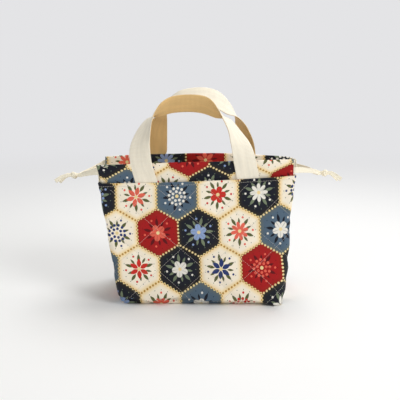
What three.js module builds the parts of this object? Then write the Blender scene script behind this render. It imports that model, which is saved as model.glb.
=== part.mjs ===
// Knitting project bag: a padded, boxed-bottom tote with a drawstring casing along the front and the back
// of its mouth, two webbing handles and two tape drawstrings knotted at opposite sides.
// Millimetres, +Z up, +X to the right, +Y to the back. The origin is the middle of the base.

import * as THREE from "three";

// Room between two pieces that lie against each other.
const CLEARANCE = 0.3;

// The bag's outside, from the base up to the seam where the casings start.
const BASE_WIDTH = 236;
const BASE_DEPTH = 146;
const RIM_WIDTH = 281;
const RIM_DEPTH = 92;
const BODY_HEIGHT = 170;
const BASE_CORNER_RADIUS = 14;
const RIM_CORNER_RADIUS = 4;
const BASE_EDGE_RADIUS = 9;
const BELLY = 4;

// The layers of its wall, from the outside in, and the strip of them that the top seam takes up.
const OUTER_THICKNESS = 1;
const FLEECE_THICKNESS = 3.5;
const LINING_THICKNESS = 0.8;
const SEAM_ALLOWANCE = 12;
const SMALLEST_CORNER_RADIUS = 0.5;

// The drawstring tape, and the casings that it runs in.
const TAPE_WIDTH = 12;
const TAPE_THICKNESS = 1;
const CASING_CLOTH = 0.6;
const CASING_EASE = 2.2;
const CASING_TOP_RADIUS = 1;

// The webbing handles. The rise is from the top of the casing to the middle of the webbing at the top.
const WEBBING_WIDTH = 32;
const WEBBING_THICKNESS = 2;
const HANDLE_SPACING = 144;
const FRONT_HANDLE_RISE = 79;
const BACK_HANDLE_RISE = 88;
const FRONT_HANDLE_SWAY = -11;
const BACK_HANDLE_SWAY = -2;
const HANDLE_ROUNDNESS = 2.5;
const HANDLE_LEAN_POWER = 1.5;
const HANDLE_TWIST = THREE.MathUtils.degToRad(145);
const HANDLE_TWIST_POWER = 1.5;
const HANDLE_MIDDLE_GAP = 2;

// The knots that close the drawstrings.
const KNOT_LENGTH = 10;
const KNOT_END_RADIUS = 4;
const KNOT_MIDDLE_RADIUS = 5;
const TAPE_WIDTH_AT_KNOT = 6.5;
const TAIL_WIDTH_AT_END = 10;
const STRAND_SPACING_AT_KNOT = 3.6;
const STRAIGHT_AT_KNOT = 4;

// How finely the curved surfaces are divided.
const CORNER_STEPS = 3;
const PANEL_STEPS = 4;
const BASE_EDGE_STEPS = 3;
const BELLY_STEPS = 3;
const HANDLE_LEG_STEPS = 1;
const HANDLE_ARCH_STEPS = 18;
const TAPE_STEPS = 10;
const KNOT_SIDES = 10;

// Each layer's faces, as distances in from the bag's outside.
const INSIDE_OF_OUTER = OUTER_THICKNESS;
const PADDING_FACE = INSIDE_OF_OUTER + CLEARANCE;
const CASING_STEM = 2 * CASING_CLOTH;
const SEAM_STACK = WEBBING_THICKNESS + CLEARANCE + CASING_STEM;
const LINING_FACE = PADDING_FACE + Math.max(FLEECE_THICKNESS, SEAM_STACK) + CLEARANCE;
const INSIDE_OF_LINING = LINING_FACE + LINING_THICKNESS;
const STEM_FACE = PADDING_FACE + WEBBING_THICKNESS + CLEARANCE;
const STRAP_MIDDLE = PADDING_FACE + WEBBING_THICKNESS / 2;

// Heights of the top seam's parts, and of the casing above it.
const SEAM_BOTTOM = BODY_HEIGHT - SEAM_ALLOWANCE;
const CASING_FOOT = BODY_HEIGHT + CLEARANCE;
const HOLLOW_BOTTOM = CASING_FOOT + CASING_CLOTH;
const HOLLOW_TOP = HOLLOW_BOTTOM + 2 * TAPE_WIDTH + 2 * CLEARANCE + CASING_EASE;
const CASING_TOP = HOLLOW_TOP + CASING_CLOTH;
const HOLLOW_DEPTH = TAPE_THICKNESS + 2 * CLEARANCE;
const CASING_DEPTH = HOLLOW_DEPTH + 2 * CASING_CLOTH;
const CASING_HALF_LENGTH = RIM_WIDTH / 2 - RIM_CORNER_RADIUS - CLEARANCE;

// Where the tape runs: its distance in from the mouth's middle, and the heights of its two runs.
const TAPE_REACH = RIM_DEPTH / 2 - STEM_FACE - CASING_DEPTH / 2;
const UPPER_TAPE = HOLLOW_TOP - CLEARANCE - TAPE_WIDTH / 2;
const LOWER_TAPE = HOLLOW_BOTTOM + CLEARANCE + TAPE_WIDTH / 2;

const bag = new THREE.Group();

// Adds one named piece in its own material.
function addPiece(name, geometry, finish) {
  const mesh = new THREE.Mesh(geometry, new THREE.MeshStandardMaterial({ metalness: 0, ...finish }));
  mesh.name = name;
  bag.add(mesh);
  return mesh;
}

const PRINTED_COTTON = { color: 0xe6d6b4, roughness: 0.8 };
const FLEECE = { color: 0xf2f0ea, roughness: 1 };
const LINING_COTTON = { color: 0xe9dfc8, roughness: 0.85 };
const COTTON_WEBBING = { color: 0xefe6cf, roughness: 0.9 };
const COTTON_TAPE = { color: 0xf4ecd8, roughness: 0.9 };

// A closed surface from shared points and triangles.
function surface(points, triangles) {
  const geometry = new THREE.BufferGeometry();
  geometry.setAttribute("position", new THREE.Float32BufferAttribute(points.flat(), 3));
  geometry.setIndex(triangles.flat());
  return geometry;
}

// The bag's half width, half depth and corner radius at a height: plumb up to the top of the base's
// rounded edge, and then running evenly to the rim.
function sizesAt(z) {
  const rise = Math.max(0, z - BASE_EDGE_RADIUS) / (BODY_HEIGHT - BASE_EDGE_RADIUS);
  return {
    halfWidth: THREE.MathUtils.lerp(BASE_WIDTH, RIM_WIDTH, rise) / 2,
    halfDepth: THREE.MathUtils.lerp(BASE_DEPTH, RIM_DEPTH, rise) / 2,
    radius: THREE.MathUtils.lerp(BASE_CORNER_RADIUS, RIM_CORNER_RADIUS, rise),
  };
}

// How far the middle of a panel swells outward at a height. It is flat on the base and along the top seam.
function bellyAt(z) {
  const rise = (z - BASE_EDGE_RADIUS) / (SEAM_BOTTOM - BASE_EDGE_RADIUS);
  return rise > 0 && rise < 1 ? BELLY * Math.sin(Math.PI * rise) : 0;
}

// The front half of a level line round the bag, from the right side seam to the left one.
function halfOutline(z, inset) {
  const { halfWidth, halfDepth, radius } = sizesAt(z);
  const corner = Math.max(radius - inset, SMALLEST_CORNER_RADIUS);
  const straight = halfWidth - inset - corner;
  const front = halfDepth - inset - corner;
  const right = [[halfWidth - inset, -CLEARANCE / 2, z]];
  for (let step = 0; step <= CORNER_STEPS; step += 1) {
    const angle = (step / CORNER_STEPS) * (Math.PI / 2);
    right.push([straight + corner * Math.cos(angle), -front - corner * Math.sin(angle), z]);
  }
  const middle = [];
  for (let step = 1; step < PANEL_STEPS; step += 1) {
    const along = 1 - (2 * step) / PANEL_STEPS;
    middle.push([straight * along, inset - halfDepth - bellyAt(z) * (1 - along * along), z]);
  }
  const left = right.map(([x, y]) => [-x, y, z]).reverse();
  return [...right, ...middle, ...left];
}

// The level lines up one face of a layer, from the flat of the base to its top.
function faceLines(inset, top) {
  const lines = [];
  const edge = BASE_EDGE_RADIUS - inset;
  for (let step = 0; step < BASE_EDGE_STEPS; step += 1) {
    const angle = (step / BASE_EDGE_STEPS) * (Math.PI / 2);
    const across = BASE_EDGE_RADIUS - edge * Math.sin(angle);
    const height = BASE_EDGE_RADIUS - edge * Math.cos(angle);
    lines.push(halfOutline(0, across).map(([x, y]) => [x, y, height]));
  }
  for (let step = 0; step < BELLY_STEPS; step += 1) {
    const height = THREE.MathUtils.lerp(BASE_EDGE_RADIUS, SEAM_BOTTOM, step / BELLY_STEPS);
    lines.push(halfOutline(height, inset));
  }
  if (top > SEAM_BOTTOM) {
    lines.push(halfOutline(SEAM_BOTTOM, inset));
  }
  lines.push(halfOutline(top, inset));
  return lines;
}

// The front half of one layer of the bag: its walls, rounded base edge and half of the base.
function layerHalf(outside, inside, top) {
  const outer = faceLines(outside, top);
  const inner = faceLines(inside, top);
  const rows = outer.length;
  const count = outer[0].length;
  const points = [...outer.flat(), ...inner.flat()];
  const outerAt = (row, i) => row * count + i;
  const innerAt = (row, i) => (rows + row) * count + i;
  const triangles = [];
  const quad = (a, b, c, d) => triangles.push([a, b, c], [a, c, d]);
  for (let row = 0; row + 1 < rows; row += 1) {
    for (let i = 0; i + 1 < count; i += 1) {
      quad(outerAt(row, i), outerAt(row + 1, i), outerAt(row + 1, i + 1), outerAt(row, i + 1));
      quad(innerAt(row, i), innerAt(row, i + 1), innerAt(row + 1, i + 1), innerAt(row + 1, i));
    }
    quad(outerAt(row, 0), innerAt(row, 0), innerAt(row + 1, 0), outerAt(row + 1, 0));
    const end = count - 1;
    quad(outerAt(row, end), outerAt(row + 1, end), innerAt(row + 1, end), innerAt(row, end));
  }
  const last = rows - 1;
  for (let i = 0; i + 1 < count; i += 1) {
    quad(outerAt(last, i), innerAt(last, i), innerAt(last, i + 1), outerAt(last, i + 1));
  }
  quad(outerAt(0, 0), outerAt(0, count - 1), innerAt(0, count - 1), innerAt(0, 0));
  const flat = outer[0].map(([x, y]) => new THREE.Vector2(x, y));
  for (const [a, b, c] of THREE.ShapeUtils.triangulateShape(flat, [])) {
    triangles.push([outerAt(0, a), outerAt(0, c), outerAt(0, b)]);
    triangles.push([innerAt(0, a), innerAt(0, b), innerAt(0, c)]);
  }
  return surface(points, triangles);
}

// Front and back pieces are alike: the back one is the front one turned half round.
function addFrontAndBack(name, geometry, finish) {
  addPiece(`${name}_front`, geometry, finish);
  addPiece(`${name}_back`, geometry, finish).rotation.z = Math.PI;
}

addFrontAndBack("outer", layerHalf(0, INSIDE_OF_OUTER, BODY_HEIGHT), PRINTED_COTTON);
addFrontAndBack(
  "fleece",
  layerHalf(PADDING_FACE, PADDING_FACE + FLEECE_THICKNESS, SEAM_BOTTOM - CLEARANCE),
  FLEECE,
);
addFrontAndBack("lining", layerHalf(LINING_FACE, INSIDE_OF_LINING, BODY_HEIGHT), LINING_COTTON);

// A front piece's place across the bag, at a height and a distance in from the outside.
function frontAt(z, inset) {
  return inset - sizesAt(Math.min(z, BODY_HEIGHT)).halfDepth;
}

// The casing: a strip of print folded into a flat tube, whose raw edges make a stem in the top seam.
function casing() {
  const front = frontAt(BODY_HEIGHT, STEM_FACE);
  const back = front + CASING_DEPTH;
  const stemBack = STEM_FACE + CASING_STEM;
  const outline = new THREE.Shape();
  outline.moveTo(frontAt(SEAM_BOTTOM, STEM_FACE), SEAM_BOTTOM);
  outline.lineTo(frontAt(SEAM_BOTTOM, stemBack), SEAM_BOTTOM);
  outline.lineTo(frontAt(BODY_HEIGHT, stemBack), BODY_HEIGHT);
  outline.lineTo(frontAt(BODY_HEIGHT, stemBack), CASING_FOOT);
  outline.lineTo(back, CASING_FOOT);
  outline.lineTo(back, CASING_TOP - CASING_TOP_RADIUS);
  outline.lineTo(back - CASING_TOP_RADIUS, CASING_TOP);
  outline.lineTo(front + CASING_TOP_RADIUS, CASING_TOP);
  outline.lineTo(front, CASING_TOP - CASING_TOP_RADIUS);
  outline.lineTo(front, BODY_HEIGHT);
  const hollow = new THREE.Path();
  hollow.moveTo(front + CASING_CLOTH, HOLLOW_BOTTOM);
  hollow.lineTo(front + CASING_CLOTH, HOLLOW_TOP);
  hollow.lineTo(back - CASING_CLOTH, HOLLOW_TOP);
  hollow.lineTo(back - CASING_CLOTH, HOLLOW_BOTTOM);
  outline.holes.push(hollow);
  const strip = new THREE.ExtrudeGeometry(outline, { depth: 2 * CASING_HALF_LENGTH, bevelEnabled: false });
  strip.translate(0, 0, -CASING_HALF_LENGTH);
  const acrossToBack = new THREE.Vector3(0, 1, 0);
  const upright = new THREE.Vector3(0, 0, 1);
  const alongMouth = new THREE.Vector3(1, 0, 0);
  strip.applyMatrix4(new THREE.Matrix4().makeBasis(acrossToBack, upright, alongMouth));
  return strip;
}

addFrontAndBack("casing", casing(), PRINTED_COTTON);

// A flat ribbon through rings that each have a middle, a half width and a half thickness.
// Opposite faces are split along the same diagonal, so that a twisted ribbon keeps its thickness.
function ribbon(rings) {
  const points = rings.flatMap(({ middle, across, through }) =>
    [[-1, -1], [1, -1], [1, 1], [-1, 1]].map(([side, face]) =>
      middle.clone().addScaledVector(across, side).addScaledVector(through, face).toArray()));
  const triangles = [[0, 2, 1], [0, 3, 2]];
  for (let ring = 0; ring + 1 < rings.length; ring += 1) {
    for (let side = 0; side < 4; side += 1) {
      const a = 4 * ring + side;
      const b = 4 * ring + ((side + 1) % 4);
      if (side < 2) {
        triangles.push([a, b, b + 4], [a, b + 4, a + 4]);
      } else {
        triangles.push([a, b, a + 4], [b, b + 4, a + 4]);
      }
    }
  }
  const end = points.length - 4;
  triangles.push([end, end + 1, end + 2], [end, end + 2, end + 3]);
  return surface(points, triangles);
}

// The sewn-in end of a handle, in the top seam between the outer panel and the casing's stem.
function handleTab(x) {
  const ring = (z) => ({
    middle: new THREE.Vector3(x, frontAt(z, STRAP_MIDDLE), z),
    across: new THREE.Vector3(WEBBING_WIDTH / 2, 0, 0),
    through: new THREE.Vector3(0, WEBBING_THICKNESS / 2, 0),
  });
  return ribbon([ring(SEAM_BOTTOM), ring(BODY_HEIGHT)]);
}

for (const [side, x] of [["left", -HANDLE_SPACING / 2], ["right", HANDLE_SPACING / 2]]) {
  addPiece(`front_handle_${side}_tab`, handleTab(x), COTTON_WEBBING);
  addPiece(`back_handle_${side}_tab`, handleTab(-x), COTTON_WEBBING).rotation.z = Math.PI;
}

// A handle of the front panel: two legs up the casing, and an arch that leans over the mouth and twists,
// so that its inner edge comes to the front and its top lies aslant.
function handle(rise, sway) {
  const legBottom = BODY_HEIGHT + CLEARANCE;
  const archBottom = CASING_TOP + CLEARANCE;
  const plumb = frontAt(BODY_HEIGHT, STRAP_MIDDLE);
  const slant = Math.abs(Math.sin(HANDLE_TWIST)) * (WEBBING_WIDTH / 2);
  const lean = -plumb - slant - HANDLE_MIDDLE_GAP;
  const power = 2 / HANDLE_ROUNDNESS;
  const archPoint = (angle) => {
    const height = Math.sin(angle) ** power;
    const x = Math.sign(Math.cos(angle)) * Math.abs(Math.cos(angle)) ** power;
    return new THREE.Vector3(
      (-x * HANDLE_SPACING) / 2 + sway * height ** HANDLE_LEAN_POWER,
      plumb + lean * height ** HANDLE_LEAN_POWER,
      archBottom + rise * height,
    );
  };
  const middles = [];
  const turns = [];
  for (let step = 0; step < HANDLE_LEG_STEPS; step += 1) {
    const height = THREE.MathUtils.lerp(legBottom, archBottom, step / HANDLE_LEG_STEPS);
    middles.push(new THREE.Vector3(-HANDLE_SPACING / 2, plumb, height));
    turns.push(0);
  }
  for (let step = 0; step <= 2 * HANDLE_ARCH_STEPS; step += 1) {
    const share = step / HANDLE_ARCH_STEPS;
    middles.push(archPoint((Math.PI / 2) * share));
    turns.push(HANDLE_TWIST * Math.sin((Math.PI / 2) * Math.min(share, 2 - share) ** HANDLE_TWIST_POWER));
  }
  for (let step = HANDLE_LEG_STEPS - 1; step >= 0; step -= 1) {
    middles.push(middles[step].clone().setX(HANDLE_SPACING / 2));
    turns.push(0);
  }
  const forward = new THREE.Vector3(0, -1, 0);
  const rings = middles.map((middle, i) => {
    const before = middles[Math.max(i - 1, 0)];
    const after = middles[Math.min(i + 1, middles.length - 1)];
    const tangent = after.clone().sub(before).normalize();
    const outOfLoop = forward.clone().addScaledVector(tangent, -forward.dot(tangent)).normalize();
    const intoLoop = outOfLoop.clone().cross(tangent).negate();
    const turn = turns[i];
    const across = intoLoop.multiplyScalar(Math.cos(turn)).addScaledVector(outOfLoop, Math.sin(turn));
    const through = tangent.clone().cross(across);
    return {
      middle,
      across: across.multiplyScalar(WEBBING_WIDTH / 2),
      through: through.multiplyScalar(WEBBING_THICKNESS / 2),
    };
  });
  return ribbon(rings);
}

addPiece("front_handle", handle(FRONT_HANDLE_RISE, FRONT_HANDLE_SWAY), COTTON_WEBBING);
addPiece("back_handle", handle(BACK_HANDLE_RISE, -BACK_HANDLE_SWAY), COTTON_WEBBING).rotation.z = Math.PI;

// A length of upright tape along a smooth route, whose width may change evenly from end to end.
function tape(route, startWidth = TAPE_WIDTH, endWidth = startWidth, steps = TAPE_STEPS) {
  const curve = new THREE.CatmullRomCurve3(route.map((point) => new THREE.Vector3(...point)));
  const rings = [];
  for (let step = 0; step <= steps; step += 1) {
    const share = step / steps;
    const tangent = curve.getTangentAt(share);
    const upward = new THREE.Vector3(0, 0, 1);
    const across = upward.addScaledVector(tangent, -tangent.z).normalize();
    const through = tangent.clone().cross(across);
    rings.push({
      middle: curve.getPointAt(share),
      across: across.multiplyScalar(THREE.MathUtils.lerp(startWidth, endWidth, share) / 2),
      through: through.multiplyScalar(TAPE_THICKNESS / 2),
    });
  }
  return ribbon(rings);
}

// Each drawstring runs through both casings, turns back across the far side of the mouth, and comes out
// of both casings at the side where its ends are knotted.
// The routes go out from the casing's end, as distances outward, towards the mouth's middle, and upward.
const DRAWSTRINGS = [
  {
    side: "left",
    outward: -1,
    height: UPPER_TAPE,
    knot: { outward: 42, drop: 16 },
    strand: [[6, 0.6, 0], [11, 7, -1], [20, 19, -6], [29, 31, -12]],
    tails: [
      [[14, 1, -4], [26, 2.5, -12]],
      [[12, 1.4, -4], [21, 3.2, -13]],
    ],
  },
  {
    side: "right",
    outward: 1,
    height: LOWER_TAPE,
    knot: { outward: 56, drop: 1 },
    strand: [[7, 0.6, 0], [17, 8, 1], [30, 19, 1], [42, 31, 0.3]],
    tails: [
      [[12, 1, -4], [22, 2.5, -11]],
      [[11, 1.4, -4], [20, 3.2, -13]],
    ],
  },
];
const TURN_BOW = [[2.2, 1.2], [3.6, 5]];

for (const { side, outward, height, knot, strand, tails } of DRAWSTRINGS) {
  const exit = outward * (CASING_HALF_LENGTH + CLEARANCE);
  const knotMiddle = new THREE.Vector3(outward * (CASING_HALF_LENGTH + knot.outward), 0, height - knot.drop);
  const knotReach = KNOT_LENGTH / 2 + CLEARANCE;
  const places = [["front", -1], ["back", 1]];

  places.forEach(([place, toward], index) => {
    const y = toward * TAPE_REACH;
    const run = [[-CASING_HALF_LENGTH, y, height], [CASING_HALF_LENGTH, y, height]];
    addPiece(`${side}_drawstring_${place}_run`, tape(run, TAPE_WIDTH, TAPE_WIDTH, 1), COTTON_TAPE);

    const beside = (toward * STRAND_SPACING_AT_KNOT) / 2;
    const atKnot = (out) => [knotMiddle.x + outward * out, beside, knotMiddle.z];
    const strandRoute = [
      [exit, y, height],
      ...strand.map(([out, inward, up]) => [exit + outward * out, y - toward * inward, height + up]),
      atKnot(-knotReach - STRAIGHT_AT_KNOT),
      atKnot(-knotReach),
    ];
    const strandGeometry = tape(strandRoute, TAPE_WIDTH, TAPE_WIDTH_AT_KNOT);
    addPiece(`${side}_${place}_strand`, strandGeometry, COTTON_TAPE);

    const tailRoute = [
      atKnot(knotReach),
      atKnot(knotReach + STRAIGHT_AT_KNOT),
      ...tails[index].map(([out, aside, up]) => {
        const [x, across, z] = atKnot(knotReach + out);
        return [x, across + toward * aside, z + up];
      }),
    ];
    const tailGeometry = tape(tailRoute, TAPE_WIDTH_AT_KNOT, TAIL_WIDTH_AT_END);
    addPiece(`${side}_${place}_tail`, tailGeometry, COTTON_TAPE);
  });

  const turnHalf = [
    [-exit, -TAPE_REACH, height],
    ...TURN_BOW.map(([out, inward]) => [-exit - outward * out, inward - TAPE_REACH, height]),
  ];
  const turnBack = turnHalf.map(([x, y, z]) => [x, -y, z]).reverse();
  addPiece(`${side}_drawstring_turn`, tape([...turnHalf, ...turnBack]), COTTON_TAPE);

  const knotProfile = [
    new THREE.Vector2(0, -KNOT_LENGTH / 2),
    new THREE.Vector2(KNOT_END_RADIUS, -KNOT_LENGTH / 2),
    new THREE.Vector2(KNOT_MIDDLE_RADIUS, 0),
    new THREE.Vector2(KNOT_END_RADIUS, KNOT_LENGTH / 2),
    new THREE.Vector2(0, KNOT_LENGTH / 2),
  ];
  const knotMesh = addPiece(`${side}_knot`, new THREE.LatheGeometry(knotProfile, KNOT_SIDES), COTTON_TAPE);
  knotMesh.rotation.z = Math.PI / 2;
  knotMesh.position.copy(knotMiddle);
}

export default bag;
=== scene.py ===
"""Looks of a padded knitting project bag: quilted printed cotton, webbing handles and tape drawstrings.

Metres, +X to the right, +Y to the back, +Z up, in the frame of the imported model.
"""

import logging
import math
from dataclasses import dataclass, field
from enum import Enum
from typing import Optional, Sequence, Union

import bpy
import numpy as np
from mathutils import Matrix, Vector, noise


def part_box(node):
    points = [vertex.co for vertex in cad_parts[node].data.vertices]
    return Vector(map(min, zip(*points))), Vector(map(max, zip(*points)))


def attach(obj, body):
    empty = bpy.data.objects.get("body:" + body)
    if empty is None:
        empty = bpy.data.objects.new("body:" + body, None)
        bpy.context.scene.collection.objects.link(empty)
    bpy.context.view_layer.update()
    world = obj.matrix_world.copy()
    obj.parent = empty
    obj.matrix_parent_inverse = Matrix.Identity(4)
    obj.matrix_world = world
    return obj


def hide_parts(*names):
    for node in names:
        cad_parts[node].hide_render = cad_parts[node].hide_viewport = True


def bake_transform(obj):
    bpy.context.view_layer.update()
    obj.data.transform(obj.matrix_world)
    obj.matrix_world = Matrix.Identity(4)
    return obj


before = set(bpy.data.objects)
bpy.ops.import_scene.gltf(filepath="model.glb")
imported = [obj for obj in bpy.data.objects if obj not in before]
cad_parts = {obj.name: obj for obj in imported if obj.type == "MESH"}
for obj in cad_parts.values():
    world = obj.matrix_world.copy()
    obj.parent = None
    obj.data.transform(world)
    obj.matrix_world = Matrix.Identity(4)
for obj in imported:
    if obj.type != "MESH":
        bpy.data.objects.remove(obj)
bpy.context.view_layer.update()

LOG = logging.getLogger("project_bag")
Array = np.ndarray
Socket = bpy.types.NodeSocket
Piece = bpy.types.Object
Value = Union[float, Sequence[float], Socket]

FLAT_MAP = "Flat"
ROUTE_STEPS = 24


class Paint(Enum):
    """The colours of cloth, thread and stage, as sRGB values from 0 to 255."""

    CREAM = (252, 241, 221)
    NAVY = (22, 25, 36)
    RED = (168, 24, 26)
    SLATE = (82, 102, 120)
    HONEY = (246, 214, 136)
    UMBER = (54, 46, 30)
    RUST = (140, 40, 20)
    MOSS = (104, 108, 96)
    OCHRE = (184, 138, 60)
    BEAD = (240, 218, 158)
    IVORY = (236, 232, 222)
    SKY = (142, 164, 206)
    SCARLET = (206, 46, 38)
    CORAL = (232, 104, 84)
    INK = (42, 58, 112)
    OLIVE = (92, 96, 54)
    SAGE = (118, 130, 104)
    MAROON = (96, 14, 20)
    LINING = (236, 224, 198)
    # The _GAP colours are darker: painted shade between the threads of each weave.
    LINING_GAP = (206, 190, 158)
    WEBBING = (252, 246, 230)
    WEBBING_GAP = (230, 214, 184)
    # The webbing's inside colours are darker and tan: painted shade on the inner faces, with some tan of
    # their own.
    WEBBING_INSIDE_SHADED = (244, 209, 148)
    WEBBING_INSIDE_GAP = (208, 163, 98)
    TAPE = (255, 249, 230)
    TAPE_GAP = (240, 226, 194)
    THREAD = (212, 204, 192)
    THREAD_GAP = (164, 154, 140)
    FLOOR = (247, 247, 246)
    BACKDROP = (228, 228, 230)

    def linear(self) -> tuple[float, float, float, float]:
        """Turn the colour into what a shader takes.

        Returns:
            Its linear red, green and blue, and a full alpha.
        """
        shares = [part / 255 for part in self.value]
        light = [s / 12.92 if s <= 0.04045 else ((s + 0.055) / 1.055) ** 2.4 for s in shares]
        return (light[0], light[1], light[2], 1.0)


class Place(Enum):
    """A place on the bag."""

    @property
    def word(self) -> str:
        """Return the place's name as it stands in the names of nodes."""
        return self.name.lower()


class Side(Place):
    """The two panels of the bag. The back one is the front one turned half round."""

    FRONT = 1
    BACK = -1

    def turned(self, points: Array) -> Array:
        """Turn points that were made for the front to this side."""
        return points * np.array([self.value, self.value, 1.0])


class Mix(Enum):
    """What a mix node mixes, with the numbers of its two inputs and its output."""

    NUMBER = ("FLOAT", 2, 3, 0)
    VECTOR = ("VECTOR", 4, 5, 1)
    COLOR = ("RGBA", 6, 7, 2)


class End(Place):
    """The two ends of the mouth, each with the knot of one drawstring."""

    LEFT = -1
    RIGHT = 1


def eased(share: Array) -> Array:
    """Ease a share between 0 and 1, level at both ends."""
    held = np.clip(share, 0.0, 1.0)
    return held * held * (3.0 - 2.0 * held)


def bell(distance: Array, width: float) -> Array:
    """Return 1 at no distance, falling to nothing past about twice the width."""
    return np.exp(-np.square(distance / width))


def unit(vectors: Array) -> Array:
    """Scale vectors to a length of one."""
    return vectors / np.maximum(np.linalg.norm(vectors, axis=-1, keepdims=True), 1e-12)


def ripple(across: Array, along: Array, wavelength: float, seed: float) -> Array:
    """Make soft random waves over a cloth.

    Args:
        across: Each point's place across the cloth.
        along: Each point's place along the cloth.
        wavelength: The size of one wave.
        seed: A number that picks the waves.

    Returns:
        Heights from about -1 to 1.
    """
    across, along = np.broadcast_arrays(across, along)
    places = zip(across.ravel() / wavelength, along.ravel() / wavelength)
    heights = [noise.noise(Vector((a, b, seed))) for a, b in places]
    return np.array(heights).reshape(across.shape)


def softened(rows: Array, reach: int) -> Array:
    """Average each row of numbers with the rows beside it, up to a reach."""
    padded = np.vstack([rows[:1]] * reach + [rows] + [rows[-1:]] * reach)
    return sum(padded[shift:shift + len(rows)] for shift in range(2 * reach + 1)) / (2 * reach + 1)


def square_to(line: Array, direction: Sequence[float]) -> Array:
    """Return a direction made square to a line, at each of the line's points."""
    tangents = unit(np.gradient(line, axis=0))
    return unit(np.array(direction) - tangents * (tangents @ np.array(direction))[:, None])


def distances_along(line: Array) -> Array:
    """Return how far along a line each of its points lies."""
    return np.concatenate([[0.0], np.cumsum(np.linalg.norm(np.diff(line, axis=0), axis=1))])


def evenly(line: Array, spacing: float) -> Array:
    """Space a line's points evenly.

    Args:
        line: Rows of numbers, of which the first three are a point.
        spacing: The wanted distance between points.

    Returns:
        New rows, evenly spaced along the line.
    """
    along = distances_along(line[:, :3])
    places = np.linspace(0.0, along[-1], max(2, round(along[-1] / spacing) + 1))
    return np.column_stack([np.interp(places, along, column) for column in line.T])


def smooth_route(route: Sequence[Sequence[float]], spacing: float) -> Array:
    """Run a smooth line through the points of a route.

    Args:
        route: The points, in order.
        spacing: The distance between the points of the line.

    Returns:
        The line's points, evenly spaced.
    """
    points = np.array(route, float)
    guide = np.vstack([2 * points[0] - points[1], points, 2 * points[-1] - points[-2]])
    share = np.linspace(0.0, 1.0, ROUTE_STEPS, endpoint=False)[:, None]
    stretches = []
    for before, start, end, after in zip(guide, guide[1:], guide[2:], guide[3:]):
        leaving = (end - before) / 2
        arriving = (after - start) / 2
        turn = 2 * start - 2 * end + leaving + arriving
        bend = 3 * end - 3 * start - 2 * leaving - arriving
        stretches.append(start + share * (leaving + share * (bend + share * turn)))
    return evenly(np.vstack([*stretches, points[-1:]]), spacing)


@dataclass
class Mould:
    """A mesh in the making: its points, its faces, its flat places and which finish each face takes."""

    points: Array
    faces: list[tuple[int, ...]]
    flat: Array
    finish_of_face: Optional[list[int]] = None

    def joined(self, other: "Mould") -> "Mould":
        """Join another mesh to this one.

        Args:
            other: The mesh to join.

        Returns:
            Both meshes as one.
        """
        first = len(self.points)
        shifted = [tuple(first + corner for corner in face) for face in other.faces]
        ours = self.finish_of_face or [0] * len(self.faces)
        theirs = other.finish_of_face or [0] * len(other.faces)
        return Mould(
            np.vstack([self.points, other.points]),
            self.faces + shifted,
            np.vstack([self.flat, other.flat]),
            ours + theirs,
        )

    def piece(self, name: str, finishes: Sequence[bpy.types.Material]) -> Piece:
        """Make the mesh a piece of the scene.

        Args:
            name: The piece's name.
            finishes: Its materials.

        Returns:
            The new piece, smoothly shaded.
        """
        mesh = bpy.data.meshes.new(name)
        mesh.from_pydata(self.points.tolist(), [], self.faces)
        for finish in finishes:
            mesh.materials.append(finish)
        corners = np.zeros(len(mesh.loops), np.int32)
        mesh.loops.foreach_get("vertex_index", corners)
        flat_map = mesh.uv_layers.new(name=FLAT_MAP)
        flat_map.data.foreach_set("uv", self.flat[corners].astype(np.float32).ravel())
        if self.finish_of_face:
            mesh.polygons.foreach_set("material_index", self.finish_of_face)
        mesh.shade_smooth()
        mesh.update()
        made = bpy.data.objects.new(name, mesh)
        bpy.context.scene.collection.objects.link(made)
        return made


@dataclass
class Cloth:
    """A cloth as a grid of points, with the place of each point on the flat cloth."""

    points: Array
    flat: Array

    def normals(self) -> Array:
        """Find which way the cloth's outside faces.

        Returns:
            The direction at each point.
        """
        across = np.gradient(self.points, axis=1)
        along = np.gradient(self.points, axis=0)
        return unit(np.cross(across, along))

    def raised(self, heights: Array) -> "Cloth":
        """Return the cloth with each point moved outward by its height."""
        return Cloth(self.points + self.normals() * heights[..., None], self.flat)

    def sampled(self, rows: Array, columns: Array) -> tuple[Array, Array]:
        """Find places between the grid's points.

        Args:
            rows: Places as counts of rows, with fractions.
            columns: Places as counts of columns, with fractions.

        Returns:
            The points and the directions that the cloth faces there.
        """
        row = np.clip(np.floor(rows).astype(int), 0, self.points.shape[0] - 2)
        column = np.clip(np.floor(columns).astype(int), 0, self.points.shape[1] - 2)
        down = (rows - row)[:, None]
        over = (columns - column)[:, None]
        found = []
        for values in (self.points, self.normals()):
            near = values[row, column] * (1 - over) + values[row, column + 1] * over
            far = values[row + 1, column] * (1 - over) + values[row + 1, column + 1] * over
            found.append(near * (1 - down) + far * down)
        return found[0], unit(found[1])

    def thick(self, thickness: float) -> Mould:
        """Give the cloth a thickness, inward from its outside.

        Args:
            thickness: How thick the cloth is.

        Returns:
            The closed mesh of the cloth.
        """
        rows, columns = self.points.shape[:2]
        outside = self.points.reshape(-1, 3)
        inside = outside - thickness * self.normals().reshape(-1, 3)
        count = rows * columns
        number = np.arange(count).reshape(rows, columns)
        corners = np.stack([number[:-1, :-1], number[:-1, 1:], number[1:, 1:], number[1:, :-1]], axis=-1)
        quads = corners.reshape(-1, 4)
        faces = [tuple(quad) for quad in quads.tolist()]
        faces += [tuple(count + corner for corner in reversed(quad)) for quad in quads.tolist()]
        edge = [*number[0, :-1], *number[:-1, -1], *number[-1, :0:-1], *number[:0:-1, 0]]
        for here, there in zip(edge, edge[1:] + edge[:1]):
            faces.append((int(there), int(here), int(count + here), int(count + there)))
        flat = self.flat.reshape(-1, 2)
        return Mould(np.vstack([outside, inside]), faces, np.vstack([flat, flat]))


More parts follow.
